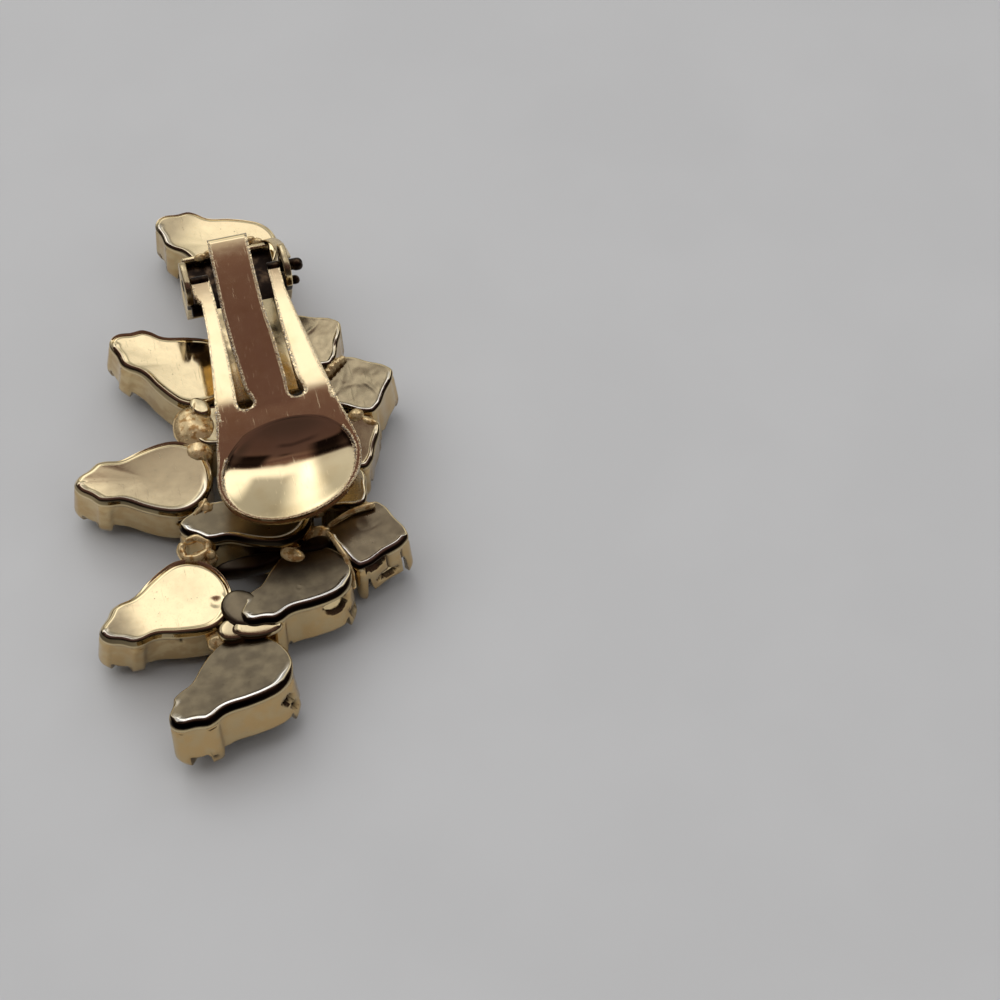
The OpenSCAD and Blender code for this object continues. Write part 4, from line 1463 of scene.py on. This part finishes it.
class EARRING_OT_base(bpy.types.Operator):
    """Builds the soldered strip, the hinge plate with its ears, the stop tab and the brace"""

    bl_idname = "earring.base"
    bl_label = "Clip base"

    def execute(self, context):
        clip = context.scene.earring_clip
        half, ear = clip.base_width / MM / 2, clip.ear / MM
        outer = (clip.ear_gap / 2 + clip.ear) / MM
        inner = clip.ear_gap / 2 / MM - 0.1
        ear_in = HINGE_MID - clip.ear_gap / 2 / MM
        low, high = STRIP_Z, STRIP_Z + clip.base / MM
        plate = [(-outer, PLATE_NEAR), (outer, PLATE_NEAR), (outer, PLATE_WAIST),
                 (inner, PLATE_WAIST), (inner, PLATE_FAR), (-inner, PLATE_FAR),
                 (-inner, PLATE_WAIST), (-outer, PLATE_WAIST)]
        parts = [
            bevelled(rectangle(-half, half, STRIP_NEAR, PLATE_NEAR + 0.2), low, high,
                     BASE_BEVEL),
            bevelled([(HINGE_MID + x, y) for x, y in plate], low, high, BASE_BEVEL),
            bevelled(rectangle(HINGE_MID - inner, HINGE_MID + inner, PLATE_FAR - ear, PLATE_FAR),
                     low + 0.1, low + LIP_H, LIP_BEVEL),
            bevelled(rectangle(ear_in + TAB_X[0], ear_in + TAB_X[1], *TAB_Y),
                     HINGE_Z - TAB_LOW, HINGE_Z - TAB_HIGH, TAB_BEVEL),
            build_ear(-1),
            build_ear(1),
            (self.brace(), tube_faces(BRACE_RINGS, BRACE_SIDES)),
        ]
        points, faces = gathered(parts)
        base = make_piece("clip_base", points + SHIFT, faces, material("base_gold"), "earring")
        # The second material is the hinge's painted shade
        base.data.materials.append(material("hinge_shade"))
        self.shade_paint(base, inner)
        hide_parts("setting")
        return {"FINISHED"}

    def brace(self):
        """Points of the bent brace, in rings along its line."""
        path = np.array(BRACE)
        wanted = np.linspace(0, len(path) - 1, BRACE_RINGS)
        points = []
        for k, centre in enumerate(resampled(path, range(len(path)), wanted, 2)):
            end = min(k, BRACE_RINGS - 1 - k) / 2.0
            part = math.sqrt(max(0.05, 1 - max(0.0, 1 - end) ** 2))
            for i in range(BRACE_SIDES):
                a = 2 * math.pi * i / BRACE_SIDES
                points.append(centre + part * np.array([BRACE_HALF[0] * math.cos(a), 0.0,
                                                        BRACE_HALF[1] * math.sin(a)]))
        return np.array(points)

    def shade_paint(self, base, inner):
        """Gives the parts that the hinge shuts in the hinge's painted shade, dark brown."""
        for polygon in base.data.polygons:
            x, y, z = np.array(polygon.center) / MM - SHIFT
            inside = abs(x - HINGE_MID) < inner + SHADE_OUT and (y > SHADE_NEAR
                                                                 or x > SHADE_RIGHT)
            facing_in = polygon.normal.x * (x - HINGE_MID) < 0 or polygon.normal.z > 0.5
            lip = (y > PLATE_FAR - LIP_BAND and polygon.normal.z > 0.3
                   or x > BRACE_FROM[0] and y > BRACE_FROM[1])
            shut = (y > PLATE_FAR - SHUT_BAND and SHUT_X[0] < x < SHUT_X[1]
                    and z < STRIP_Z + LIP_H + 0.05)
            tab = TAB_SHADE[0] < y < TAB_SHADE[1] and z < HINGE_Z - 0.55
            if tab or shut or inside and facing_in and z < HINGE_Z + 0.2 and not lip:
                polygon.material_index = 1


class EARRING_OT_clip(bpy.types.Operator):
    """Builds the clip: pad with its dish, legs, spring tongue and hinge pins"""

    bl_idname = "earring.clip"
    bl_label = "Clip"

    def execute(self, context):
        clip = context.scene.earring_clip
        parts = [pad_mesh()]
        for kind, columns in COLUMNS.items():
            rows = strip_rows(kind)
            if kind == "tongue":
                rows = rows[:-1]
                for y, z in fold_line():
                    at = min(y, TONGUE[0][0])
                    rows.append((y, edge_x(TONGUE, 1, at), edge_x(TONGUE, 2, at), z))
            parts.append(strip_mesh(rows, columns))
        points, faces = gathered(parts)
        sheet = make_piece("clip_sheet", points + SHIFT, faces, material("clip_gold"), "clip")
        bm = bmesh.new()
        bm.from_mesh(sheet.data)
        bmesh.ops.remove_doubles(bm, verts=bm.verts, dist=0.02 * MM)
        bmesh.ops.recalc_face_normals(bm, faces=bm.faces)
        if sum(f.normal.z for f in bm.faces) < 0:
            bmesh.ops.reverse_faces(bm, faces=bm.faces)
        bm.to_mesh(sheet.data)
        bm.free()
        finish_sheet(sheet, clip.sheet, SHEET_BEVEL * MM)
        mark_edges(sheet, EDGE_REACH * MM)
        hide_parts("clip_paddle")

        for side, name in ((-1, "hinge_pin_left"), (1, "hinge_pin_right")):
            self.pin(clip, side, name)
        return {"FINISHED"}

    def pin(self, clip, side, name):
        """A leg's rolled top with the pin that stands out of it."""
        ear_out = HINGE_MID + side * (clip.ear_gap / 2 + clip.ear) / MM
        inner = LEGS[0][3] if side > 0 else -LEGS[0][2]
        outer = LEGS[0][4] if side > 0 else -LEGS[0][1]
        pin = clip.pin / MM
        tip = side * ear_out + (clip.pin_out / MM if side > 0 else 0.05)
        profile = [(0.0, inner), (KNUCKLE - 0.1, inner), (KNUCKLE - 0.03, inner + 0.03),
                   (KNUCKLE, inner + 0.1), (KNUCKLE, outer - 0.1),
                   (KNUCKLE - 0.03, outer - 0.03), (pin + 0.01, outer), (pin, outer + 0.02)]
        if side > 0:
            turns = [math.radians(a) for a in (15, 30, 45, 60, 75)]
            profile += [(pin, tip - pin - 0.02)]
            profile += [(pin * math.cos(t), tip - pin + pin * math.sin(t)) for t in turns]
            profile += [(0.0, tip)]
        else:
            profile += [(pin, tip - 0.05), (pin - 0.04, tip - 0.01), (0.0, tip)]
        around = [2 * math.pi * i / PIN_SIDES for i in range(PIN_SIDES)]
        points = np.array([(side * x, r * math.cos(a), HINGE_Z + r * math.sin(a))
                           for r, x in profile for a in around]) + SHIFT
        faces = ring_faces(len(profile), PIN_SIDES)
        if side > 0:
            heads = [blob(design(x, y, z), (r, r, r), 0, 5, 0.12) for x, y, z, r in PIN_HEADS]
            points, faces = gathered([(points, faces)] + heads)
        # The rolled top and pin take the hinge's painted shade, dark as their reflections
        obj = make_piece(name, points, faces, material("hinge_shade"), "clip")
        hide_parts("clip_paddle")


class EARRING_OT_stage(bpy.types.Operator):
    """Sets the pale floor, the soft studio light and the camera"""

    bl_idname = "earring.stage"
    bl_label = "Stage"

    def execute(self, context):
        stage = context.scene.earring_stage
        floor_mesh = bpy.data.meshes.new("studio_floor")
        corners = rectangle(-FLOOR_HALF, FLOOR_HALF, -FLOOR_HALF, FLOOR_HALF)
        floor_mesh.from_pydata([(x, y, 0) for x, y in corners], [], [(0, 1, 2, 3)])
        floor = bpy.data.objects.new("studio_floor", floor_mesh)
        context.scene.collection.objects.link(floor)
        n = Surface("studio_floor")
        n.set("Base Color", n.mix(n.between(n.noise(0.06, 3.0), 0.35, 0.65), stage.floor,
                                  shaded(stage.floor, (0.97, 0.97, 0.97))))
        n.set("Roughness", 0.75)
        n.set("Specular IOR Level", 0.25)
        floor_mesh.materials.append(n.material)

        self.sky(context)
        for name, place, size, part in LIGHTS:
            self.light(context, name, place, size, stage.key * part)
        self.camera(context)
        return {"FINISHED"}

    def sky(self, context):
        """A studio dome: bright low at the far side, warm and dark overhead."""
        world = bpy.data.worlds.new("studio")
        world.use_nodes = True
        context.scene.world = world
        n = Nodes(world.node_tree)
        where = n.add("ShaderNodeTexCoord").outputs["Generated"]
        x, y, z = n.add("ShaderNodeSeparateXYZ", {0: where}).outputs
        far_x, far_y = SKY_FAR
        ahead = n.math("ADD", n.math("MULTIPLY", x, far_x), n.math("MULTIPLY", y, far_y))
        aside = n.math("SUBTRACT", n.math("MULTIPLY", x, far_y), n.math("MULTIPLY", y, far_x))
        off = n.math("ABSOLUTE", aside)
        # The angle up from the far side's horizon, over the top to the near side's, leaning
        # so that the bright part reaches higher at both sides
        angle = n.math("DIVIDE", n.math("ARCTAN2", z, ahead), math.pi)
        angle = n.math("ADD", angle, n.math("MULTIPLY", off, SKY_LEAN))
        colours = n.add("ShaderNodeValToRGB", {0: angle})
        colours.color_ramp.interpolation = "EASE"
        while len(colours.color_ramp.elements) < len(SKY):
            colours.color_ramp.elements.new(0.5)
        for element, (degrees, colour) in zip(colours.color_ramp.elements, SKY):
            element.position = degrees / 180
            element.color = (*colour, 1)
        shine = colours.outputs[0]
        for low, high, left, right, part in SKY_PATCHES:
            patch = 1.0
            for value, start, end, soft in ((angle, low / 180, high / 180, PATCH_SOFT[0]),
                                            (aside, left, right, PATCH_SOFT[1])):
                for edge, sign in ((start, 1), (end, -1)):
                    step = n.between(value, edge - sign * soft, edge + sign * soft)
                    patch = n.math("MULTIPLY", patch, step)
            level = n.math("ADD", n.math("MULTIPLY", patch, part - 1.0), 1.0)
            shine = n.add("ShaderNodeVectorMath", {0: shine, "Scale": level},
                          operation="SCALE").outputs[0]
        background = n.tree.nodes["Background"]
        n.feed(background.inputs["Color"],
               n.mix(n.between(off, SIDE_FROM, SIDE_FULL), shine, SKY_SIDE))
        background.inputs["Strength"].default_value = 1.0

    def light(self, context, name, place, size, power):
        lamp = bpy.data.lights.new(name, "AREA")
        lamp.shape = "DISK"
        lamp.size = size
        lamp.energy = power
        obj = bpy.data.objects.new(name, lamp)
        obj.location = place
        obj.rotation_euler = (-Vector(place)).to_track_quat("-Z", "Y").to_euler()
        obj.visible_glossy = False
        context.scene.collection.objects.link(obj)

    def camera(self, context):
        """The photograph's view: 55 degrees down, with the earring left of the middle."""
        aim = Vector(CAMERA_AIM) * MM
        place = aim + Vector(CAMERA_FROM) * MM
        data = bpy.data.cameras.new("camera")
        data.sensor_width = SENSOR
        data.lens = context.scene.earring_stage.lens
        data.clip_start = 0.01
        data.clip_end = 10
        camera = bpy.data.objects.new("camera", data)
        camera.location = place
        camera.rotation_euler = (aim - place).to_track_quat("-Z", "Y").to_euler()
        context.scene.collection.objects.link(camera)
        context.scene.camera = camera
        context.scene.view_settings.view_transform = "Standard"
        context.scene.view_settings.look = "None"


class EARRING_PT_panel(bpy.types.Panel):
    """Lists the earring's operators and settings"""

    bl_idname = "EARRING_PT_panel"
    bl_label = "Earring"
    bl_space_type = "VIEW_3D"
    bl_region_type = "UI"
    bl_category = "Earring"

    def draw(self, context):
        for operator in OPERATORS:
            self.layout.operator(operator.bl_idname)
        for label in SETTINGS:
            group = getattr(context.scene, label)
            box = self.layout.box()
            for key in group.__annotations__:
                box.prop(group, key)


SETTINGS = {
    "earring_cups": CupSettings,
    "earring_stones": StoneSettings,
    "earring_clip": ClipSettings,
    "earring_finish": FinishSettings,
    "earring_stage": StageSettings,
}
OPERATORS = [EARRING_OT_cups, EARRING_OT_stones, EARRING_OT_solder, EARRING_OT_base,
             EARRING_OT_clip, EARRING_OT_stage]


def register():
    for kind in [*SETTINGS.values(), *OPERATORS, EARRING_PT_panel]:
        bpy.utils.register_class(kind)
    for label, kind in SETTINGS.items():
        setattr(bpy.types.Scene, label, bpy.props.PointerProperty(type=kind))


def unregister():
    for label in SETTINGS:
        delattr(bpy.types.Scene, label)
    for kind in [EARRING_PT_panel, *OPERATORS, *SETTINGS.values()]:
        bpy.utils.unregister_class(kind)


def main():
    register()
    bpy.ops.earring.cups()
    bpy.ops.earring.stones()
    bpy.ops.earring.solder()
    bpy.ops.earring.base()
    bpy.ops.earring.clip()
    bpy.ops.earring.stage()


if __name__ == "__main__":
    main()
